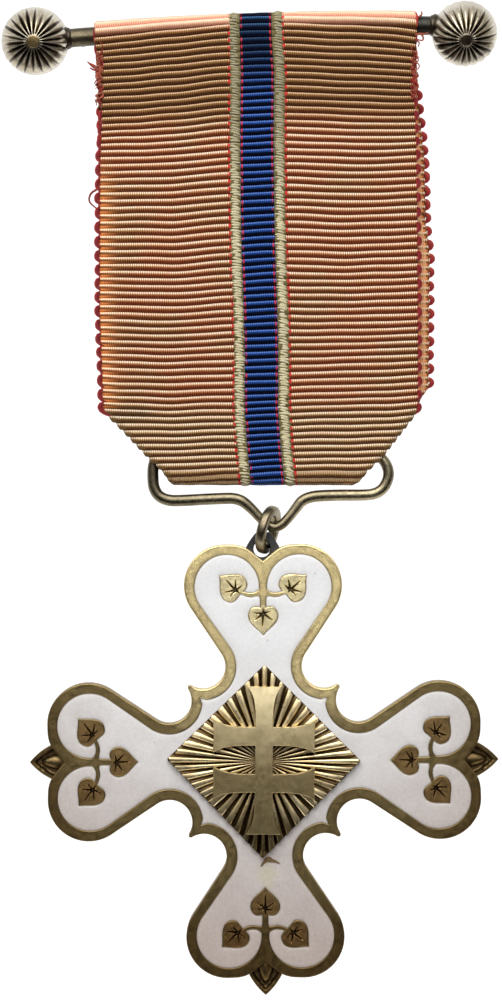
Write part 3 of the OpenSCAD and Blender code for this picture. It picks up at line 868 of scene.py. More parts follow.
# Radii of the turns over the bar and round the lower end, the lower end's height, and where the ends overlap
TOP_R, END_R = 1.32, 1.27
END_Z = -47.85
START_Z, STOP_Z = -20.0, -14.0
# Height of the ribs, the cloth's outer and inner face off its middle, and how far out the upper end lies
RIB_H = 0.2
CLOTH_OUT, CLOTH_IN = 0.07, -0.17
OVERLAP_OUT = 0.5
# Edges of the front layer and of the back layer
FRONT_EDGES = [
    # z, left x, right x
    (0, -17.25, 17.35), (-1.5, -17.1, 17.3), (-4, -16.6, 17.2), (-8, -16.45, 17.15), (-14, -16.65, 17.35),
    (-30, -16.7, 17.5), (-40.9, -16.3, 17.5), (-41.75, -15.9, 17.3), (-43.4, -14.25, 16.0),
    (-46.6, -11.3, 13.5), (END_Z, -9.9, 12.1),
]
BACK_EDGES = [
    (0, -17.25, 17.35), (-1.5, -17.2, 17.4), (-4, -17.0, 17.4), (-8, -16.9, 17.6), (-14, -16.7, 18.25),
    (-21, -16.65, 18.45), (-24.5, -16.6, 18.85), (-38.9, -16.4, 18.75), (-40.0, -16.3, 17.9),
    (-41.75, -15.9, 17.3), (-43.4, -14.25, 16.0),
    (-46.6, -11.3, 13.5), (END_Z, -9.9, 12.1),
]
# How far the front layer's ribs rise above their height at the blue stripe, read off the photograph
SAG_X = (-17.5, -13.5, -9, -3, 3, 10, 14, 18)
SAG = [
    # z, then the rise in millimetres at each of those places
    (0, (-1.7, -1.35, -0.78, -0.25, -0.02, -0.3, -0.5, -0.9)),
    (-4, (-1.55, -1.25, -0.8, -0.26, -0.02, -0.38, -0.52, -0.75)),
    (-8, (-1.42, -1.18, -0.87, -0.28, -0.02, -0.33, -0.43, -0.4)),
    (-14, (-1.0, -0.95, -0.86, -0.3, -0.04, -0.25, -0.2, -0.03)),
    (-21, (-0.86, -0.82, -0.88, -0.3, -0.02, -0.18, -0.08, 0.02)),
    (-31, (-0.5, -0.57, -0.63, -0.3, 0.0, -0.05, 0.02, 0.24)),
    (-37, (-0.23, -0.33, -0.4, -0.25, 0.02, 0.14, 0.3, 0.5)),
    (-41, (-0.2, -0.27, -0.45, -0.25, 0.03, 0.18, 0.32, 0.56)),
    (-45, (-0.5, -0.45, -0.5, -0.25, 0.03, 0.15, 0.3, 0.5)),
    (-49, (-0.9, -0.75, -0.65, -0.25, 0.03, 0.1, 0.25, 0.35)),
]
# The blue stripe: z, its middle, its half width
BLUE = [(0, 0.05, 1.72), (-1.5, 0.08, 1.72), (-5, 0.25, 1.8), (-12, 0.2, 1.8), (-20, 0.28, 1.8),
        (-25, 0.39, 1.8), (-30.5, 0.59, 1.8), (-36, 0.7, 1.8), (-41, 0.68, 1.8), (-45.6, 0.98, 1.8),
        (-49, 1.36, 1.8)]
# Where the blue and the cream end, in the across places that the silk reads
BLUE_SIDE, CREAM_SIDE = 1.7, 2.8
# Left and right edge at the lowest place of the strip
LOWEST_EDGES = (-8.75, 10.6)
# Distances along the strip where it starts over the bar, down the front, round the lower end and up the back
UP = -START_Z
OVER = UP + math.pi * TOP_R
DOWN = OVER - END_Z
UNDER = DOWN + math.pi * END_R
STRIP = UNDER + STOP_Z - END_Z


def read_table(z, table, column=1):
    """A column of a table at some heights. The table's rows go down from the top."""
    return np.interp(z, [row[0] for row in table[::-1]], [row[column] for row in table[::-1]])


def ribbon_edges():
    """The strip's left and right edge against the distance along it."""
    rows = [(0.0, read_table(START_Z, BACK_EDGES), read_table(START_Z, BACK_EDGES, 2))]
    rows += [(UP + z, left, right) for z, left, right in BACK_EDGES[::-1] if z >= START_Z]
    rows += [(OVER - z, left, right) for z, left, right in FRONT_EDGES]
    rows += [((DOWN + UNDER) / 2, *LOWEST_EDGES)]
    rows += [(UNDER + z - END_Z, left, right) for z, left, right in BACK_EDGES[::-1]]
    return np.array(rows)


EDGES = ribbon_edges()


def edges_at(rows):
    """The strip's left and right edge at the places that the wandering ribs really reach."""
    rows = np.asarray(rows, float)
    found = []
    for column in (1, 2):
        x = np.interp(rows, EDGES[:, 0], EDGES[:, column])
        for _ in range(2):
            x = np.interp(rows + rib_sway(x, rows), EDGES[:, 0], EDGES[:, column])
        found.append(x)
    return found


def rib_table():
    """Number of ribs up to each of many distances along the strip."""
    step = 0.05
    at = np.arange(0, STRIP + 2 * step, step)
    pitch = np.where((at > OVER) & (at < DOWN), read_table(OVER - at, FRONT_PITCH), BACK_PITCH)
    return at, np.concatenate([[0], np.cumsum(step / pitch)[:-1]])


RIB_AT, RIB_NUMBER = rib_table()


def rib_number(s):
    return np.interp(s, RIB_AT, RIB_NUMBER)


def rib_place(number):
    return np.interp(number, RIB_NUMBER, RIB_AT)


# How far down the ribs stop following the bar's bend
BEND_FADES = 49.4


def half_gap(z):
    """Half the distance between the middles of the two layers at a height."""
    return END_R + (TOP_R - END_R) * np.clip((z - END_Z) / -END_Z, 0, 1)


def ribbon_at(s):
    """Where the cloth's middle is at a distance along the strip.

    Returns y, z, outward y, outward z, and how much of the bar's bend the place follows.
    """
    s = np.asarray(s, float)
    a_top, a_end = (s - UP) / TOP_R, (s - DOWN) / END_R
    z_up, z_down, z_back = START_Z + s, OVER - s, END_Z + s - UNDER
    parts = [s < UP, s < OVER, s < DOWN, s < UNDER]
    y = np.select(parts, [half_gap(z_up), TOP_R * np.cos(a_top), -half_gap(z_down), -END_R * np.cos(a_end)],
                  half_gap(z_back))
    z = np.select(parts, [z_up, TOP_R * np.sin(a_top), z_down, END_Z - END_R * np.sin(a_end)], z_back)
    ny = np.select(parts, [1.0, np.cos(a_top), -1.0, -np.cos(a_end)], 1.0)
    nz = np.select(parts, [0.0, np.sin(a_top), 0.0, -np.sin(a_end)], 0.0)
    lift = OVERLAP_OUT * smooth((s - (STRIP - 8.5)) / 1.5)
    return y + lift * ny, z, ny, nz, bend_share(z)


def bend_share(z):
    """How much of the bar's bend the ribs follow at a height: all of it at the bar, less going down."""
    return np.clip(1 + z / BEND_FADES, 0, 1)


def stripe_middle(z):
    """Across place of the blue stripe's middle, which leans to the right going down."""
    return read_table(z, BLUE)


def stripe_share(x, z):
    """Across place measured from the blue stripe's middle, with the stripe's edge at BLUE_SIDE."""
    return (x - stripe_middle(z)) / read_table(z, BLUE, 2) * BLUE_SIDE


def sag(x, z):
    """Smooth rise of the ribs from the table above."""
    x, z = np.broadcast_arrays(np.asarray(x, float), np.asarray(z, float))
    columns = np.clip(np.interp(x, SAG_X, range(len(SAG_X))), 0, len(SAG_X) - 1.001)
    levels = [row[0] for row in SAG[::-1]]
    rows = len(SAG) - 1 - np.interp(z, levels, range(len(SAG)))
    rows = np.clip(rows, 0, len(SAG) - 1.001)
    table = np.array([row[1] for row in SAG])
    i, j = rows.astype(int), columns.astype(int)
    u, v = smooth(rows - i), columns - j
    v = 0.5 * v + 0.5 * smooth(v)
    low = table[i, j] * (1 - v) + table[i, j + 1] * v
    high = table[i + 1, j] * (1 - v) + table[i + 1, j + 1] * v
    return low * (1 - u) + high * u


def rib_sway(x, s):
    """How far the ribs wander along the strip at a place."""
    small = (0.03 * np.sin(x * 0.45 + s * 0.21) + 0.015 * np.sin(x * 1.1 - s * 0.33 + 1.0)
             + 0.015 * np.sin(x * 0.7 + s * 1.3))
    z = np.clip(OVER - s, -49, 0)
    shift = bar_z(x) * bend_share(z) - sag(x, z)
    front = smooth((s - OVER + 2.5) / 2.5) * (1 - smooth((s - UNDER) / 4))
    return shift * front + small


# Rows of points: shares of each rib, closer together in the valleys
RIB_SHARES = (0.0, 0.07, 0.17, 0.32, 0.5, 0.68, 0.83, 0.93)
# Columns of points: distances from each edge, then shares of what lies between
EDGE_COLUMNS = (0.0, 0.03, 0.09, 0.18, 0.3, 0.45)
BETWEEN_COLUMNS = np.linspace(0, 1, 46)[1:-1]
# Columns that the inner face keeps
INNER_COLUMNS = [0, 5, 11, 17, 23, 28, 33, 39, 45, 50, -1]
# Height below which the corners are folded away
FOLD_Z = -41.3


def ribbon_rows():
    """Distances along the strip, and each one's height on its rib."""
    ribs = int(rib_number(STRIP))
    rows = rib_place([rib + t for rib in range(ribs) for t in RIB_SHARES])
    return rows, np.array([math.sqrt(max(0.0, 1 - (2 * t - 1) ** 2)) for t in RIB_SHARES] * ribs)


def ribbon_columns(rows, heights):
    """Across places of all points, and their distances from the nearer edge, negative on the left."""
    left, right = edges_at(rows)
    # Below the folded corners each rib ends in a small step
    step_left, step_right = edges_at(rib_place(np.floor(rib_number(rows) + 0.01) + 0.5))
    below = smooth((FOLD_Z - ribbon_at(rows)[1]) / 0.6)
    step, hidden = 0.4 * below, 0.32 * below * (rows > UNDER)
    swell = (0.07 + 0.06 * step) * heights
    left = left + (step_left - left) * step - swell + hidden
    right = right + (step_right - right) * step + swell - hidden
    last = EDGE_COLUMNS[-1]
    between = [left + last + (right - left - 2 * last) * t for t in BETWEEN_COLUMNS]
    x = np.stack([left + d for d in EDGE_COLUMNS] + between + [right - d for d in EDGE_COLUMNS[::-1]], 1)
    from_left, from_right = x - left[:, None], right[:, None] - x
    return x, np.where(from_left < from_right, -from_left, from_right)


def ribbon_painted_glow(rows, signed, level):
    """How much painted light shines orange through the thin edges at each place. Below zero it is painted
    shade along the folded corners.
    """
    front = smooth((rows - OVER) / 2)[:, None] * (1 - smooth((rows - DOWN) / 2))[:, None]
    above_fold = smooth(level - FOLD_Z + 0.3)
    left = 0.5 * smooth(1 + signed / 1.9) + 0.35 * smooth(1 + signed / 4.2)
    left = left * (signed < 0) * front * smooth((-level - 11) / 8) * above_fold
    right = 1.3 * smooth(1 - signed / 2.2) * (signed > 0) * (1 - front) * smooth((-level - 2) / 3)
    shade = 0.9 * smooth(1.5 - np.abs(signed) / 0.75) * (1 - above_fold)
    return left + right - shade


def ribbon_shape():
    """The ribbed band as one closed skin: an outer face with every rib, and a plain inner face."""
    rows, heights = ribbon_rows()
    x, signed = ribbon_columns(rows, heights)
    y, level, ny, nz, bend = ribbon_at(np.clip(rows[:, None] + rib_sway(x, rows[:, None]), 0.0, STRIP))
    z = level + bar_z(x) * bend
    ones = np.ones_like(x)
    high = heights[:, None] * ones
    round_edge = np.sqrt(np.clip(1 - (1 - np.clip(np.abs(signed) / 0.3, 0, 1)) ** 2, 0, 1))
    lump = 1 + 0.12 * np.sin(x * 2.3 + rows[:, None] * 1.7) * np.cos(x * 0.9 - rows[:, None] * 0.6)
    outer = CLOTH_IN + (CLOTH_OUT + RIB_H * high * lump - CLOTH_IN) * (0.15 + 0.85 * round_edge)
    depth = CLOTH_IN - 0.03 * high
    points = np.stack([x, y + ny * outer, z + nz * outer], 2)
    inner = np.stack([x, y + ny * depth, z + nz * depth], 2)[:, INNER_COLUMNS]
    # Across place, number of the rib, height on it, 1 where the strip runs down (which side gets the painted
    # highlight), painted glow, and height
    downward = ((rows > UP + 1.5) & (rows < DOWN + 2.5))[:, None] * ones
    marks = np.stack([stripe_share(x, level), rib_number(rows)[:, None] * ones, high, downward,
                      ribbon_painted_glow(rows, signed, level), level], 2)
    n, m = x.shape
    skin, k = n * m, len(INNER_COLUMNS)
    faces = grid_faces(n, m) + [[skin + i for i in (a, d, c, b)] for a, b, c, d in grid_faces(n, k)]
    for i in range(n - 1):
        near, far = skin + i * k, skin + (i + 1) * k
        faces.append([i * m, (i + 1) * m, far, near])
        faces.append([i * m + m - 1, near + k - 1, far + k - 1, (i + 1) * m + m - 1])
    for i in (0, n - 1):
        faces.append([*range(i * m, i * m + m), *range(skin + i * k + k - 1, skin + i * k - 1, -1)])
    all_marks = np.concatenate([marks.reshape(-1, MARKS), marks[:, INNER_COLUMNS].reshape(-1, MARKS)])
    return Shape().add(np.concatenate([points.reshape(-1, 3), inner.reshape(-1, 3)]), faces, all_marks)


# The tucked corners: columns and rows of points, height of their upper edge, and marks that the silk reads
FLAP_COLUMNS, FLAP_ROWS, FLAP_TOP = 54, 8, -41.4
FLAP_ACROSS, FLAP_HIGH, FLAP_LEVEL = 12, 0.6, -43


def flap_shape():
    """Corners of the band tucked between its two layers, their ribs upright after the fold."""
    shape = Shape()
    total = 2 * FLAP_COLUMNS
    for side, column in ((-1, 1), (1, 2)):
        for front, edges in ((-1, FRONT_EDGES), (1, BACK_EDGES)):
            fold = np.array([(edge[column], edge[0]) for edge in edges if edge[0] < -41])
            xs, zs = fold[:, 0], fold[:, 1]
            columns = np.linspace(xs[0], xs[-1] - side * 0.3, FLAP_COLUMNS)
            low = np.minimum(np.interp(columns * -side, xs * -side, zs) + 0.42, FLAP_TOP - 0.1)
            ribs = np.abs(np.sin((columns - xs[0]) / PITCH * math.pi))
            points = []
            for t in np.linspace(0, 1, FLAP_ROWS):
                z = FLAP_TOP + (low - FLAP_TOP) * t
                for y, order in ((0.98 + 0.02 * ribs, 1), (0.7 - 0.05 * ribs, -1)):
                    points.append(np.stack([columns, front * y, z], 1)[::order])
            faces = grid_faces(FLAP_ROWS, total, False, True)
            for row in (0, FLAP_ROWS - 1):
                first, last = row * total, row * total + total - 1
                faces += [[first + j, first + j + 1, last - 1 - j, last - j] for j in range(FLAP_COLUMNS - 1)]
            along = np.concatenate([columns, columns[::-1]])
            marks = np.tile([FLAP_ACROSS, 0, FLAP_HIGH, 1, 0, FLAP_LEVEL], (total, 1))
            marks[:, 1] = (along - xs[0]) / PITCH
            shape.add(np.concatenate(points), faces, np.tile(marks, (FLAP_ROWS, 1)))
    return shape


def cloth_place(x, s, off):
    """A point off the cloth's middle outward, at an across place and a distance along the strip."""
    y, z, ny, nz, bend = (float(v) for v in ribbon_at(s))
    return (x, y + ny * off, z + float(bar_z(x)) * bend + nz * off)


def edge_place(s, side, out, off):
    """A point beside the strip's edge: out past the edge, and off the cloth's middle outward."""
    x = float(edges_at([s])[0 if side < 0 else 1][0]) + side * out
    return cloth_place(x, s + float(rib_sway(x, s)), off)


def selvedge_spans(side):
    first, last = (0.85, 6.7) if side < 0 else (0.27, 6.2)
    return [(first, DOWN - last), (UNDER + 9.0, STRIP - 0.5)]


# Share of a loop's length, and how far out of the edge the yarn is there
FRONT_LOOP = ((0, 0.04), (0.1, 0.24), (0.35, 0.31), (0.65, 0.28), (0.88, 0.0), (1, -0.35))
BACK_LOOP = ((0, -0.2), (0.15, 0.2), (0.4, 0.36), (0.65, 0.34), (0.85, 0.15), (1, -0.25))
LOOP_THICK = (0.13, 0.2, 0.25, 0.28, 0.29, 0.29, 0.29, 0.27, 0.25, 0.21, 0.14)
# Above this the loops are worn thin
WORN_ABOVE = -7.3


# Length along the edge of the loops at the back
BACK_LOOP_SIZE = 1.05


def yarn_loop(mix, s, side):
    """One loop of yarn beside an edge: its points, faces and marks."""
    size = mix.uniform(1.2, 1.32)
    level = float(ribbon_at(s)[1])
    on_front = OVER - 1 < s < DOWN
    full = float(smooth((-7 - level) / 9)) if on_front else 1.0
    if on_front and side > 0:
        size, full = size * 0.8, full * 0.6
    if not on_front:
        size, full = BACK_LOOP_SIZE, -0.3 if side < 0 else full
    if level > WORN_ABOVE:
        out, thick = mix.uniform(0.0, 0.3), mix.uniform(0.3, 0.5)
    else:
        out = mix.uniform(0.88, 1.12) * (0.45 + 0.55 * full)
        thick = mix.uniform(0.94, 1.06) * (0.88 + 0.14 * full)
    shares, aways = zip(*(FRONT_LOOP if on_front else BACK_LOOP))
    path = []
    for t in np.linspace(0, 1, len(LOOP_THICK)):
        away = float(np.interp(t, shares, aways))
        lift = 0.14 - 0.16 * math.sin(math.pi * t) + 0.06 * math.cos(math.pi * t)
        at = s + size * t + mix.uniform(-0.01, 0.01)
        path.append(edge_place(at, side, away * out if away > 0 else away, lift))
    sides = 8
    points, faces = tube(path, np.array(LOOP_THICK) * thick, sides)
    # Share of the way along the loop, a random tone, and 1 at the back
    marks = np.full((len(points), 3), [0, mix.random(), 0.0 if on_front else 1.0])
    marks[:, 0] = np.repeat(np.linspace(0, 1, len(points) // sides), sides)
    return points, faces, marks


def selvedge_shape():
    """Red yarn that loops round the edges, one loop for every two ribs."""
    mix = random.Random(21)
    shape = Shape()
    for side in (-1, 1):
        for s, high in selvedge_spans(side):
            while s < high:
                shape.add(*yarn_loop(mix, s, side))
                s = float(rib_place(rib_number(s) + 2))
    return shape


CORD_AT, CORD_STEP = 2.4, 0.28
# A strand across a cord: share of its reach, how far it has sunk, how far it stands off the cloth
STRAND = ((-1, -0.13, 0.13), (-0.5, -0.1, 0.2), (0, 0.0, 0.25), (0.5, 0.1, 0.2), (1, 0.24, 0.12))
STRAND_THICK = (0.06, 0.125, 0.14, 0.125, 0.055)


def cord_strand(mix, s, offset):
    """The path of one strand across a cord."""
    middle = float(stripe_middle(float(ribbon_at(s)[1]))) + 0.03 + offset + mix.uniform(-0.05, 0.05)
    ends = [mix.uniform(0.47, 0.6), mix.uniform(0.47, 0.62)]
    if mix.random() < 0.12:
        ragged = 0 if mix.random() < 0.5 else 1
        ends[ragged] = mix.uniform(0.1, 0.3)
    slope, raised = mix.uniform(0.1, 1.1), mix.uniform(-0.02, 0.05)
    path = []
    for t, sink, off in STRAND:
        x = middle + t * ends[t > 0]
        at = s + sink * slope + float(rib_sway(x, s)) + mix.uniform(-0.02, 0.02)
        path.append(cloth_place(x, min(max(at, 0), STRIP), off + raised))
    return path


def stripe_shape():
    """Cream cords of the two narrow stripes: strands side by side with dark gaps and ragged ends."""
    mix = random.Random(8)
    shape = Shape()
    for offset in (-CORD_AT, CORD_AT):
        s = 0.3
        while s < STRIP - 0.5:
            path = cord_strand(mix, s, offset)
            thick = np.array(STRAND_THICK) * mix.uniform(0.8, 1.15)
            shape.add(*tube(path, thick, 7), (mix.random(), 0, 0))
            s += CORD_STEP * mix.uniform(0.82, 1.18)
    return shape


def thread(points, radius, seed):
    """A loose thread through some points, thinner at its end."""
    mix = random.Random(seed)
    loose = [(x + mix.uniform(-0.03, 0.03), y, z + mix.uniform(-0.03, 0.03)) for x, y, z in points]
    line = curve_through(loose, 5)
    return tube(line, np.linspace(radius, radius * 0.6, len(line)), 6)


# Frayed ends at the two upper corners: radius, then places
FRAYED = [
    (0.13, [(-16.9, -1.5, -4.7), (-17.4, -1.6, -4.45), (-17.95, -1.6, -3.95)]),
    (0.12, [(-17.0, -1.5, -4.5), (-17.45, -1.5, -4.2), (-17.85, -1.4, -4.05)]),
    (0.13, [(-16.8, -1.5, -4.9), (-17.3, -1.5, -4.75), (-17.7, -1.4, -4.6)]),
    (0.1, [(-16.5, -1.5, -6.3), (-17.0, -1.5, -5.95), (-17.25, -1.4, -6.2)]),
    (0.12, [(17.3, -1.5, -1.0), (17.8, -1.6, -0.95), (18.1, -1.5, -1.35), (17.9, -1.5, -1.65),
            (17.45, -1.5, -1.5)]),
    (0.1, [(17.2, -1.5, -1.5), (17.6, -1.6, -1.9), (17.5, -1.5, -2.3)]),
    (0.12, [(17.55, -1.0, 0.95), (17.9, -1.0, 1.2), (17.97, -0.9, 1.55)]),
    (0.1, [(17.4, -0.4, -0.55), (18.2, -0.6, -0.75), (18.9, -0.5, -0.5)]),
    (0.13, [(-16.9, -1.5, -17.6), (-17.6, -1.5, -18.1), (-17.75, -1.4, -18.9), (-17.0, -1.3, -19.7)]),
]
# Strands worn off down each edge: which side, where the edge is, and from where to where
WORN_EDGES = ((-1, -16.75, -1.8, -8.6), (1, 17.15, -1.9, -8.0))
WORN_STRANDS = 20


def loose_threads():
    """Frayed ends at listed places, then worn strands that run down the edges."""
    shape = Shape()
    lines = list(FRAYED)
    mix = random.Random(31)
    for side, edge, start, stop in WORN_EDGES:
        for _ in range(WORN_STRANDS):
            z, line = mix.uniform(start, stop + 1.0), []
            low = max(stop, z - mix.uniform(1.2, 3.0))
            while z > low:
                line.append((edge + side * mix.uniform(-0.5, 0.42), -1.62 + mix.uniform(-0.12, 0.1), z))
                z -= mix.uniform(0.2, 0.5)
            if len(line) > 2:
                lines.append((mix.uniform(0.05, 0.1), line))
    for k, (radius, line) in enumerate(lines):
        shape.add(*thread(line, radius, k), (1.6 * mix.random() ** 2, 0.3, 0))
    return shape


# Heights of the two rows of stitches, from where to where they run, and their spacing
STITCH_ROWS, STITCH_FROM, STITCH_TO, STITCH_STEP = (-16.2, -18.1), -15.8, 18.2, 1.75
# A stitch: across, out of the cloth, up
STITCH = ((0, -0.25, 0), (0.15, 0.03, 0), (0.5, 0.06, 0.02), (0.85, 0.03, 0), (1.0, -0.25, 0))


def stitches():
    """Two rows of stitches that hold the overlapped ends at the back."""
    mix = random.Random(13)
    shape = Shape()
    y = TOP_R + OVERLAP_OUT + 0.3
    for level in STITCH_ROWS:
        x = STITCH_FROM
        while x < STITCH_TO:
            z = level + float(bar_z(x)) * 0.65 + mix.uniform(-0.08, 0.08)
            shape.add(*tube([(x + across, y + out, z + up) for across, out, up in STITCH], 0.11, 6))
            x += STITCH_STEP
    return shape


# Materials

class Nodes:
    """Short ways to add nodes to a tree. Where a value goes in, another node's output can go in too."""

    def __init__(self, tree):
        self.tree = tree
        self.place = None
        tree.nodes.clear()

    def plug(self, socket, value):
        if isinstance(value, bpy.types.NodeSocket):
            self.tree.links.new(value, socket)
        elif socket.type == "RGBA" and len(value) == 3:
            socket.default_value = (*value, 1.0)
        else:
            socket.default_value = value

    def put(self, kind, settings=None, **inputs):
        """Adds a node. Its inputs go by number (i0, i1) or by name."""
        node = self.tree.nodes.new("ShaderNode" + kind)
        for key, value in (settings or {}).items():
            setattr(node, key, value)
        for key, value in inputs.items():
            numbered = key[0] == "i" and key[1:].isdigit()
            self.plug(node.inputs[int(key[1:]) if numbered else key.replace("_", " ")], value)
        return node

    def maths(self, operation, a, b=0.5):
        return self.put("Math", {"operation": operation}, i0=a, i1=b).outputs[0]

    def plus(self, a, b):
        return self.maths("ADD", a, b)

    def times(self, a, b):
        return self.maths("MULTIPLY", a, b)

    def off(self, a, b):
        """How far a value is from another."""
        return self.maths("ABSOLUTE", self.maths("SUBTRACT", a, b))

    def vector(self, operation, a, b=(0, 0, 0)):
        return self.put("VectorMath", {"operation": operation}, i0=a, i1=b)

    def stretched(self, by, centre=(0, 0, 0)):
        """The place on the object, measured from a centre and stretched."""
        return self.vector("MULTIPLY", self.vector("SUBTRACT", self.place, centre).outputs[0], by).outputs[0]

    def distance(self, centre, by):
        return self.vector("LENGTH", self.stretched(by, centre)).outputs["Value"]

    def split(self, vector):
        return self.put("SeparateXYZ", i0=vector).outputs

    def marks(self, label="mark"):
        return self.split(self.put("Attribute", {"attribute_name": label}).outputs["Vector"])

    def ramp(self, value, low, high, to_low=0.0, to_high=1.0):
        """A smooth step from one value to another."""
        return self.put("MapRange", {"interpolation_type": "SMOOTHSTEP"}, Value=value, From_Min=low,
                        From_Max=high, To_Min=to_low, To_Max=to_high).outputs[0]

    def mix(self, share, a, b):
        return self.put("Mix", {"data_type": "FLOAT"}, i0=share, i2=a, i3=b).outputs[0]

    def blend(self, share, a, b, kind="MIX"):
        """A share of the second colour over the first."""
        settings = {"data_type": "RGBA", "blend_type": kind, "clamp_result": kind != "MIX"}
        return self.put("Mix", settings, i0=share, i6=a, i7=b).outputs[2]

    def noise(self, scale, detail=3.0, rough=0.55, stretch=None):
        place = self.stretched(stretch) if stretch else self.place
        return self.put("TexNoise", Vector=place, Scale=scale, Detail=detail, Roughness=rough).outputs["Fac"]

    def cells(self, scale):
        return self.put("TexVoronoi", {"feature": "F1"}, Vector=self.place, Scale=scale).outputs["Distance"]

    def waves(self, direction, place, scale, distortion, detail, **more):
        settings = {"wave_type": "BANDS", "bands_direction": direction}
        return self.put("TexWave", settings, Vector=place, Scale=scale, Distortion=distortion, Detail=detail,
                        **more).outputs["Fac"]


class Material(Nodes):
    """A new material: its shader, and the place on the object in millimetres."""

    def __init__(self, name):
        self.made = bpy.data.materials.new(name)
        self.made.use_nodes = True
        super().__init__(self.made.node_tree)
        self.shader = self.put("BsdfPrincipled")
        self.put("OutputMaterial", i0=self.shader.outputs[0])
        place = self.put("TexCoord").outputs["Object"]
        self.place = self.put("VectorMath", {"operation": "SCALE"}, i0=place, Scale=1 / MM).outputs[0]

    def painted_light_and_tarnish(self, base, x, z, start, full, tone):
        """Darkens the base away from a place, from one distance to another: painted light, bright at the
        place with painted shade away from it, and on the bar a bluish oxide.
        """
        far = self.plus(self.distance((x, 0, z), (1, 0, 1)), self.times(self.noise(0.5, 4, 0.6), 8.0))
        share = self.ramp(far, start + 4.0, full + 4.0)
        return self.blend(share, base, self.blend(1.0, base, tone, "MULTIPLY"))

    def finish(self, bumps, **inputs):
        """Stacks bumps, each (height, strength, distance in millimetres), and sets the shader's inputs."""
        for height, strength, distance in bumps:
            under = {"Normal": inputs["Normal"]} if "Normal" in inputs else {}
            bump = self.put("Bump", Height=height, Strength=strength, Distance=distance * MM, **under)
            inputs["Normal"] = bump.outputs[0]
        for key, value in inputs.items():
            self.plug(self.shader.inputs[key.replace("_", " ")], value)
        return self.made


def brass_material(name, clean, dull, dark, rough=(0.3, 0.5), grain=0.5, brush=None, light_and_tarnish_spots=(), tones=(),
                   relief=1.0):
    """Old brass: brushed or cast grain, dark pits, and darkening that follows the place on the object:
    painted light round a bright spot, and on the bar a bluish oxide.

    Each of the tones is (number of the mark, value where it starts, value where it is full, share, colour).
    """
    m = Material(name)
    cloud, fine = m.noise(1.6, 5, 0.65), m.noise(6.0, 5, 0.75)
    base = m.blend(m.ramp(m.noise(0.35, 4, 0.6), 0.35, 0.68), clean, dull)
    base = m.blend(m.ramp(cloud, 0.48, 0.72, 0.0, 0.55), base, dull)
    # Painted light round each spot, except the bar's bluish oxide
    for spot in light_and_tarnish_spots:
        base = m.painted_light_and_tarnish(base, *spot)
    speck = m.ramp(m.cells(2.3), 0.05, 0.12, 1.0, 0.0)
    base = m.blend(m.ramp(fine, 0.5, 0.72, 0.0, grain), base, m.blend(0.35, dark, base))
    base = m.blend(m.times(speck, 0.6 * min(1.0, grain * 2)), base, dark)
    for mark, low, high, share, tone in tones:
        base = m.blend(m.ramp(m.marks()[mark], low, high, 0.0, share), base, tone)
    bumps = [(cloud, 0.3 * relief, 0.04), (fine, 0.6 * relief, 0.03), (speck, -0.4 * relief, 0.03)]
    if brush:
        bumps.append((m.noise(1.0, 3, 0.6, brush), 0.5, 0.03))
    return m.finish(bumps, Base_Color=base, Metallic=1.0, Roughness=m.ramp(cloud, 0.3, 0.7, *rough))


def enamel_material():
    """White enamel: painted shade that makes it greyer away from the top, dark along the metal with dirt in
    the joint and painted shade, a few specks, one greenish stain.
    """
    m = Material("white_enamel")
    cloud, fine = m.noise(0.25, 4, 0.55), m.noise(2.6, 4, 0.6)
    base = m.blend(m.ramp(cloud, 0.35, 0.7), (0.86, 0.86, 0.86), (0.82, 0.815, 0.815))
    # Painted shade: greyer away from the top arm
    base = m.painted_light_and_tarnish(base, 1.0, -60.0, 9.0, 41.0, (0.56, 0.47, 0.43))
    base = m.blend(m.ramp(fine, 0.58, 0.8, 0.0, 0.35), base, (0.72, 0.7, 0.67))
    edge = m.marks()[0]
    # Dark along the metal: dirt in the joint, and painted shade where the enamel meets the rim
    base = m.blend(m.ramp(edge, 0.0, 0.13, 0.75, 0.0), base, (0.33, 0.28, 0.22))
    base = m.blend(m.ramp(edge, 0.1, 0.9, 0.12, 0.0), base, (0.6, 0.55, 0.47))
    dots = m.ramp(m.cells(0.42), 0.045, 0.075, 0.35, 0.0)
    base = m.blend(dots, base, (0.3, 0.26, 0.22))
    x, _, z = m.split(m.place)
    far = m.plus(m.times(m.off(x, 1.3), 0.9), m.times(m.off(z, -91.2), 0.55))
    far = m.plus(far, m.times(fine, 1.6))
    base = m.blend(m.ramp(far, 1.1, 2.4, 0.55, 0.0), base, (0.55, 0.5, 0.33))
    return m.finish([(cloud, 0.3, 0.12), (fine, 0.15, 0.03), (dots, -0.5, 0.05)], Base_Color=base,
                    Roughness=m.ramp(fine, 0.3, 0.7, 0.2, 0.34), Coat_Weight=0.25, Coat_Roughness=0.2)


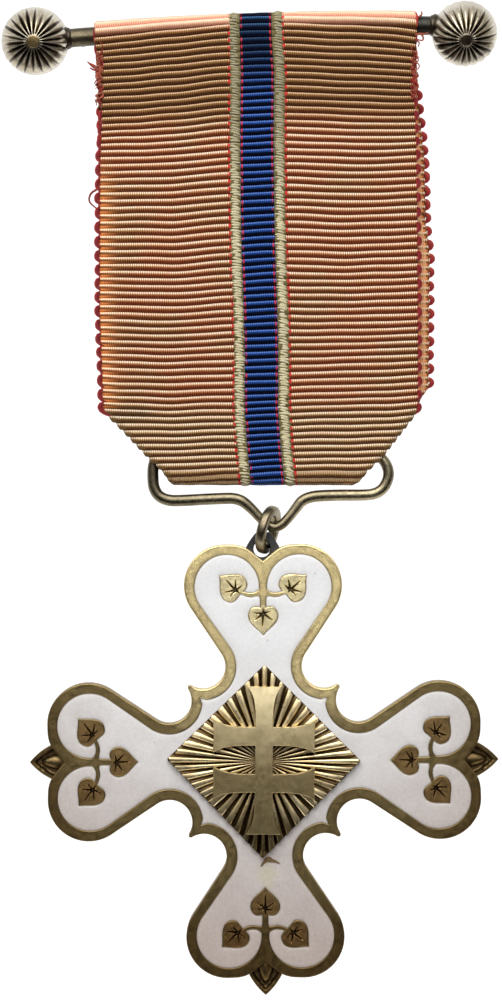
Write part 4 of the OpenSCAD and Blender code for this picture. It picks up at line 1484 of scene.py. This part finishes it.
def silk_shares(m, along, down, level):
    """Shares that the silk's colours follow: where in a rib a place is, and how high on the band."""
    rib = m.maths("FLOOR", along)
    loose = m.put("TexWhiteNoise", {"noise_dimensions": "1D"}, W=rib).outputs["Value"]
    shift = m.plus(m.times(m.maths("FLOORED_MODULO", rib, 2.0), 0.118), m.times(loose, 0.05))
    laid = m.vector("ADD", m.place, m.put("CombineXYZ", X=shift).outputs[0]).outputs[0]
    bead = m.waves("X", laid, 1.328, 0.5, 1.0, Detail_Scale=0.8)
    between = m.ramp(bead, 0.65, 0.3)
    # Place within a rib from its upper side to its lower, so that the painted highlight lies on the side
    # facing up
    within = m.off(m.maths("FRACT", along), m.maths("SUBTRACT", 1.0, down))
    upper = m.ramp(m.maths("SUBTRACT", within, m.times(between, 0.1)), 0.005, 0.05)
    # Near the top the crests are thinner and the silk browner, and over the bar, where the cloth turns up to
    # the light, painted light makes it pale
    top = m.times(m.ramp(level, -12.0, -8.0), m.ramp(level, 0.9, -0.8, 0.0, 0.92))
    narrow = m.plus(m.plus(within, m.times(top, 0.1)), m.times(between, 0.07))
    # The crest share is a painted highlight along the upper side of each rib
    crest = m.times(upper, m.ramp(narrow, 0.4, 0.25))
    return bead, between, within, upper, top, m.ramp(level, -0.3, 0.9), crest


def salmon_silk(m, between, within, top, over, crest_highlight, glow, level):
    """Colour of the broad stripes: a painted highlight on each crest, painted shade down the slope to the
    foot.
    """
    olive = m.ramp(m.noise(0.16, 3, 0.5, (0.6, 1.0, 1.0)), 0.46, 0.62, 0.0, 0.7)
    below = m.ramp(level, -39.5, -42.5)
    # The slope and the foot of a rib, darkened by painted shade: usual, olive, near the top, below the folded
    # corners (more painted shade), over the bar (pale with painted light)
    parts = []
    for usual, *others in (
            ((0.6, 0.23, 0.085), (0.5, 0.28, 0.1), (0.26, 0.135, 0.04), (0.58, 0.35, 0.14),
             (0.84, 0.67, 0.47)),
            ((0.23, 0.046, 0.016), (0.165, 0.056, 0.017), (0.075, 0.03, 0.01), (0.15, 0.06, 0.022),
             (0.8, 0.5, 0.32))):
        for share, tone in zip((olive, top, below, over), others):
            usual = m.blend(share, usual, tone)
        parts.append(usual)
    salmon = m.blend(m.ramp(within, 0.36, 0.66), *parts)
    ticks = m.mix(over, m.times(between, m.ramp(within, 0.3, 0.6, 0.35, 0.85)),
                  m.times(between, m.ramp(within, 0.6, 0.85, 0.0, 0.9)))
    salmon = m.blend(ticks, salmon, m.blend(over, (0.045, 0.014, 0.006), (0.72, 0.13, 0.1)))
    streak = m.noise(1.0, 3, 0.6, (0.5, 1.0, 1.3))
    crest = m.blend(m.ramp(streak, 0.35, 0.65), (1.0, 0.86, 0.68), (1.0, 0.76, 0.56))
    crest = m.blend(top, crest, (0.92, 0.63, 0.4))
    crest = m.blend(m.times(between, m.ramp(top, 0.0, 1.0, 0.62, 1.0)), crest, (0.34, 0.14, 0.065))
    # Painted shade on the last crest, where the cloth turns under
    crest = m.blend(m.times(m.ramp(level, -47.5, -48.2), 0.75), crest, (0.3, 0.16, 0.06))
    salmon = m.blend(crest_highlight, salmon, crest)
    # Painted light shining through the thin edges makes them orange
    warm = m.blend(crest_highlight, (1.0, 0.33, 0.09), (1.0, 0.8, 0.54))
    shadow = m.times(m.ramp(m.off(within, 0.48), 0.22, 0.1), m.ramp(glow, 0.85, 1.2, 1.0, 0.45))
    warm = m.blend(shadow, warm, (0.2, 0.07, 0.03))
    warm = m.blend(m.ramp(glow, 0.85, 1.2, 0.0, 0.7), warm, (1.0, 0.62, 0.34))
    salmon = m.blend(m.ramp(glow, 0.0, 1.0), salmon, warm)
    # Shade lies along the folded corners, and in a dent beside the left one
    folded = m.times(m.ramp(glow, 0.0, -1.0, 0.0, 0.85), m.ramp(crest_highlight, 0.0, 1.0, 1.0, 0.35))
    salmon = m.blend(folded, salmon, (0.15, 0.085, 0.03))
    dent = m.ramp(m.distance((-13.2, 0, -41.7), (0.3, 0, 0.8)), 1.0, 0.3, 0.0, 0.65)
    return m.blend(m.times(dent, m.maths("SUBTRACT", 1.0, crest_highlight)), salmon, (0.07, 0.035, 0.013))


def blue_silk(m, between, within, upper, over, level):
    """Colour of the middle stripe: sky-blue crests of painted highlight, deep blue slopes and black feet of
    painted shade.
    """
    high = m.ramp(level, -9.0, -2.0)
    sky = m.blend(over, m.blend(high, (0.13, 0.25, 0.7), (0.045, 0.085, 0.15)), (0.11, 0.27, 0.56))
    deep = m.blend(over, m.blend(high, (0.012, 0.055, 0.24), (0.005, 0.018, 0.05)), (0.02, 0.075, 0.17))
    blue = m.blend(m.ramp(within, 0.36, 0.56), deep, (0.0012, 0.0016, 0.005))
    blue = m.blend(m.times(upper, m.ramp(within, 0.3, 0.12)), blue, sky)
    return m.blend(m.times(between, 0.5), blue, (0.002, 0.006, 0.03))


def ribbon_material():
    """Ribbed silk in three stripes: each rib has a pale crest of painted highlight with beads along its upper
    side, then a duller slope, then a foot darkened by painted shade, with upright ticks where the warp
    crosses."""
    m = Material("ribbon_silk")
    middle, along, _ = m.marks()
    down, glow, level = m.marks("shade")
    bead, between, within, upper, top, over, crest = silk_shares(m, along, down, level)
    salmon = salmon_silk(m, between, within, top, over, crest, glow, level)
    blue = blue_silk(m, between, within, upper, over, level)
    side, outer = m.maths("ABSOLUTE", middle), m.off(middle, 0.04)
    base = m.blend(m.ramp(side, BLUE_SIDE - 0.01, BLUE_SIDE + 0.01), blue, (0.17, 0.135, 0.055))
    base = m.blend(m.ramp(outer, CREAM_SIDE - 0.01, CREAM_SIDE + 0.01), base, salmon)
    # Red binding threads show beside the cream cords, at the pale part of each rib
    some = m.ramp(m.noise(1.1, 2, 0.5), 0.36, 0.5)
    near_blue = m.ramp(m.off(side, BLUE_SIDE - 0.17), 0.1, 0.05)
    near_salmon = m.ramp(m.off(outer, CREAM_SIDE + 0.08), 0.16, 0.08)
    pick = m.times(m.ramp(within, 0.6, 0.45, 0.12, 1.0), some)
    reds = m.times(m.maths("MAXIMUM", near_blue, near_salmon), pick)
    bumps = [(bead, 0.8, 0.07), (m.noise(14.0, 3, 0.7), 0.4, 0.03), (m.noise(1.2, 4, 0.6), 0.3, 0.05)]
    return m.finish(bumps, Base_Color=m.blend(reds, base, (0.6, 0.035, 0.035)), Roughness=0.6,
                    Specular_IOR_Level=0.05)


def darker(tone, by):
    return [by * c for c in tone]


def yarn_material(name, main, deep, pale, twist=9.0, face=None, top_dark=0.0):
    """Twisted yarn. With a face colour, what faces the front or the back is of that colour: painted shade,
    less on the loops at the back, which painted light shines through.
    """
    m = Material(name)
    share, _, back = m.marks()
    strand = m.waves("DIAGONAL", m.place, twist, 1.5, 2.0)
    base = m.blend(m.ramp(m.noise(1.8, 4, 0.6), 0.3, 0.7), main, deep)
    base = m.blend(m.ramp(share, 0.2, 1.0, 0.0, 0.35), base, pale)
    if face:
        # Painted shade on what faces the front or back, less on the back loops
        facing = m.maths("ABSOLUTE", m.split(m.put("NewGeometry").outputs["True Normal"])[1])
        painted_shade_share = m.times(m.ramp(facing, 0.5, 0.95, 0.0, 0.8), m.ramp(back, 0.0, 1.0, 1.0, 0.35))
        base = m.blend(painted_shade_share, base, face)
    base = m.blend(m.ramp(strand, 0.35, 0.0, 0.0, 0.7), base, darker(deep, 0.3))
    base = m.blend(m.ramp(m.split(m.place)[2], -22.0, -7.0, 0.0, top_dark), base, darker(deep, 0.25))
    return m.finish([(strand, 0.7, 0.05), (m.noise(16.0, 3, 0.7), 0.4, 0.02)], Base_Color=base,
                    Roughness=0.65, Specular_IOR_Level=0.2)


def floor_material():
    m = Material("floor_paper")
    base = m.blend(m.ramp(m.noise(0.02, 3, 0.5), 0.3, 0.7), (0.9, 0.9, 0.9), (0.93, 0.93, 0.93))
    return m.finish((), Base_Color=base, Roughness=0.8, Emission_Color=(1, 1, 1), Emission_Strength=0.5)


# Pieces

BROWN = (0.1, 0.065, 0.03)
# Spots round which the colour stays bright and darkens away: x, z, distance where it starts and where it is
# full, tone.
# All but the bar's are painted light, a painted highlight fading into painted shade; the bar's is a bluish
# oxide.
TOP_PAINTED_HIGHLIGHT = (1.2, -63.0, 9.0, 18.0, (0.3, 0.275, 0.235))
LOW_PAINTED_SHADE = (1.0, -72.0, 18.0, 28.0, (0.55, 0.47, 0.4))
RAY_PAINTED_HIGHLIGHT = (1.2, -73.0, 9.0, 19.0, (0.5, 0.44, 0.34))
GILT_PAINTED_HIGHLIGHT = (1.2, -66.0, 5.0, 15.0, (0.5, 0.46, 0.38))
BAR_SPOT = (-24.0, 0.0, 25.0, 40.0, (0.36, 0.42, 0.55))
WIRE_PAINTED_HIGHLIGHT = (14.0, -49.0, 6.0, 24.0, (0.55, 0.55, 0.55))
# Brushed grain: how the noise is stretched
BRUSH_CROSS, BRUSH_DOUBLE = (14.0, 1.0, 3.0), (16.0, 1.0, 2.0)


def build_cross():
    # Tones: browner near the edges, a painted highlight on the top arm's leaves, a browner tone on the other
    # arms' leaves, dark veins; the spots add a painted highlight round the top arm and painted shade lower
    # down
    tones = ((1, 0.22, 0.0, 0.3, BROWN), (2, 0.4, 0.7, 0.95, (1.0, 0.86, 0.5)),
             (2, -0.4, -0.7, 0.42, (0.36, 0.19, 0.07)), (0, 0.15, 0.6, 0.93, (0.045, 0.028, 0.014)))
    metal = brass_material("cross_brass", (1.0, 0.82, 0.41), (0.88, 0.7, 0.35), BROWN, (0.3, 0.46), 0.66,
                           BRUSH_CROSS, (TOP_PAINTED_HIGHLIGHT, LOW_PAINTED_SHADE), tones)
    make_piece("cross_frame", brass_cross(), metal, "cross", 12, ["cross_body"], True)
    points = Shape()
    for k in (1, 2, 3):
        points.join(relief_point().moved(cross_place(k)))
    # The points get the same painted highlight and painted shade
    gold = brass_material("point_brass", (0.95, 0.78, 0.42), (0.8, 0.64, 0.34), BROWN, (0.3, 0.46), 0.45,
                          None, (TOP_PAINTED_HIGHLIGHT, LOW_PAINTED_SHADE), ((0, 0.25, 0.95, 0.75, BROWN),))
    make_piece("leaf_points", points, gold, "cross", 40)
    slate = brass_material("eye_brass", (0.085, 0.085, 0.085), (0.06, 0.06, 0.06), (0.02, 0.02, 0.02),
                           (0.35, 0.55), 0.5)
    make_piece("eye", eye_plate().moved(cross_place()), slate, "cross", 40)
    white = enamel_material()
    make_piece("enamel_field", enamel_sheet(), white, "cross", 60, ["enamel"], True)
    solder = brass_material("solder", (0.3, 0.2, 0.1), (0.2, 0.13, 0.07), (0.05, 0.03, 0.02), (0.4, 0.6), 0.6)
    make_piece("solder_spill", solder_stain(), solder, "cross", 40)


def build_middle():
    # Tones: painted shade towards the middle round the double cross, on the lower part and in the valleys;
    # the spot adds a painted highlight fading into painted shade
    tones = ((1, 0.55, 0.12, 0.85, (0.2, 0.13, 0.06)), (2, 0.0, 1.0, 0.8, (0.2, 0.14, 0.055)),
             (0, 0.25, 0.7, 0.96, (0.06, 0.034, 0.012)))
    rays = brass_material("ray_brass", (1.0, 0.85, 0.52), (0.96, 0.73, 0.39), (0.09, 0.055, 0.02),
                          (0.26, 0.38), 0.02, None, (RAY_PAINTED_HIGHLIGHT,), tones, 0.08)
    make_piece("rayed_plaque", rayed_plaque(), rays, "cross", 20, ["plaque"], True)
    # Painted highlight round the spot near the top, fading into painted shade
    gilt = brass_material("gilt_brass", (0.9, 0.76, 0.46), (0.84, 0.7, 0.41), (0.2, 0.15, 0.08), (0.34, 0.44),
                          0.3, BRUSH_DOUBLE, (GILT_PAINTED_HIGHLIGHT,), (), 0.6)
    make_piece("double_barred_cross", double_barred(), gilt, "cross", 20, ["double_cross"],
               True)


def build_metal():
    dark = brass_material("dark_brass", (0.12, 0.1, 0.062), (0.075, 0.062, 0.04), (0.02, 0.017, 0.013),
                          (0.3, 0.5), 0.7, None, (BAR_SPOT,))
    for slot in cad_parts["bar"].material_slots:
        slot.material = dark
    # Painted highlight on the right of the hanger, fading into painted shade towards the ring and the left
    wire = brass_material("hanger_brass", (0.345, 0.292, 0.187), (0.217, 0.18, 0.111), (0.04, 0.031, 0.02),
                          (0.24, 0.4), 0.5, None, (WIRE_PAINTED_HIGHLIGHT,))
    shape = Shape().add(*hanger_wire())
    make_piece("hanger_wire", shape, wire, "bar_and_ribbon", 60, ["hanger"])
    line, axis = ring_path()
    shape = Shape().add(*tube(line, WIRE_R * 0.92, 24, True, 3.2, axis))
    make_piece("ring_wire", shape, wire, "ring", 60, ["jump_ring"])


def knob_metal(name, button):
    # Tones: a pale painted reflection towards the outline, painted shade in the flutes and on the lower side,
    # and the button's own colour
    tones = ((2, 0.0, 1.0, 0.42, (0.82, 0.79, 0.73)), (0, 0.1, 0.9, 0.95, (0.045, 0.033, 0.021)),
             (1, 0.4, 0.9, 0.95, button))
    return brass_material(name, (0.66, 0.6, 0.48), (0.4, 0.34, 0.24), (0.06, 0.048, 0.03), (0.26, 0.42), 0.45,
                          None, (), tones)


def build_knobs():
    left = knob_metal("knob_metal", (0.2, 0.135, 0.05))
    right = knob_metal("knob_metal_right", (0.085, 0.062, 0.042))
    ball = knob_shape(-23.7, 7.3, 9, 1, 6)
    make_piece("ball_left", ball, left, "bar_and_ribbon", 30, ["knob_left"])
    ball = knob_shape(22.6, 7.05, 20, -1, 2, RIGHT_KNOB_DROP)
    make_piece("ball_right", ball, right, "bar_and_ribbon", 30, ["knob_right"])


def build_ribbon():
    silk = ribbon_material()
    red = yarn_material("red_yarn", (0.7, 0.05, 0.05), (0.45, 0.025, 0.032), (0.95, 0.25, 0.13), 9.0,
                        (0.19, 0.022, 0.028))
    frayed = yarn_material("frayed_yarn", (0.5, 0.05, 0.035), (0.24, 0.02, 0.02), (1.0, 0.42, 0.22))
    cream_yarn = yarn_material("cream_yarn", (0.97, 0.88, 0.57), (0.8, 0.7, 0.42), (1.0, 0.95, 0.72), 7.0,
                               None, 0.62)
    band = make_piece("ribbon_band", ribbon_shape(), silk, "bar_and_ribbon", 50, ["ribbon"])
    flaps = make_piece("corner_flaps", flap_shape(), silk, "bar_and_ribbon", 50)
    loops = make_piece("selvedge_loops", selvedge_shape(), red, "bar_and_ribbon", 60)
    cords = make_piece("stripe_cords", stripe_shape(), cream_yarn, "bar_and_ribbon", 60)
    loose = make_piece("loose_threads", loose_threads(), frayed, "bar_and_ribbon", 60)
    sewn = make_piece("seam_stitches", stitches(), red, "bar_and_ribbon", 60)


# Camera, light and floor

def add_object(name, data):
    made = bpy.data.objects.new(name, data)
    bpy.context.scene.collection.objects.link(made)
    return made


SENSOR = 36.0
# Height of the floor, how far it reaches, and how far in front of the object it starts
FLOOR_Z, FLOOR_REACH, FLOOR_NEAR = -0.17, 3.0, -0.06
# How bright the surroundings are: below, above, behind the camera's view, and as the camera sees them
SKY_LOW, SKY_HIGH, SKY_BACK, SKY_SEEN = 0.06, 0.4, 1.1, 1.15


def build_camera():
    data = bpy.data.cameras.new("camera")
    camera = add_object("camera", data)
    camera.location = (AXIS_X * MM, -CAMERA_FAR * MM, AXIS_Z * MM)
    camera.rotation_euler = (math.pi / 2, 0, 0)
    data.sensor_fit = "VERTICAL"
    data.sensor_height = data.sensor_width = SENSOR
    data.lens = SENSOR * (CAMERA_FAR - 1.0) / PICTURE_H
    data.clip_start, data.clip_end = 0.01, 20.0
    bpy.context.scene.camera = camera


def add_light(name, place, target, size, power):
    data = bpy.data.lights.new(name, "AREA")
    data.shape = "RECTANGLE"
    data.size, data.size_y = size
    data.energy = power
    light = add_object(name, data)
    light.location = place
    light.rotation_euler = (Vector(target) - Vector(place)).to_track_quat("-Z", "Y").to_euler()


def build_world():
    """Even white for the camera; for the metal, dim in front, dimmer below and bright behind."""
    world = bpy.data.worlds.new("studio")
    bpy.context.scene.world = world
    world.use_nodes = True
    n = Nodes(world.node_tree)
    _, depth, height = n.split(n.put("TexCoord").outputs["Generated"])
    front = n.ramp(height, -0.2, 0.7, SKY_LOW, SKY_HIGH)
    lit = n.mix(n.ramp(depth, -0.15, 0.4), front, SKY_BACK)
    strength = n.mix(n.put("LightPath").outputs["Is Camera Ray"], lit, SKY_SEEN)
    light = n.put("Background", Color=(1, 1, 1), Strength=strength)
    n.put("OutputWorld", i0=light.outputs[0])


def build_stage():
    build_world()
    mesh = bpy.data.meshes.new("floor")
    corners = [(-FLOOR_REACH, FLOOR_NEAR), (FLOOR_REACH, FLOOR_NEAR), (FLOOR_REACH, FLOOR_REACH),
               (-FLOOR_REACH, FLOOR_REACH)]
    mesh.from_pydata([(x, y, FLOOR_Z) for x, y in corners], [], [(0, 1, 2, 3)])
    mesh.materials.append(floor_material())
    add_object("floor", mesh)
    add_light("key", (-0.03, -0.19, 0.16), (0.0, 0.0, -0.04), (0.34, 0.24), 0.98)
    add_light("front_panel", (0.0, -0.6, 0.16), (0.0, 0.0, -0.05), (0.5, 0.2), 0.9)
    bpy.context.scene.view_settings.view_transform = "Standard"


build_camera()
build_stage()
build_metal()
build_knobs()
build_cross()
build_middle()
build_ribbon()
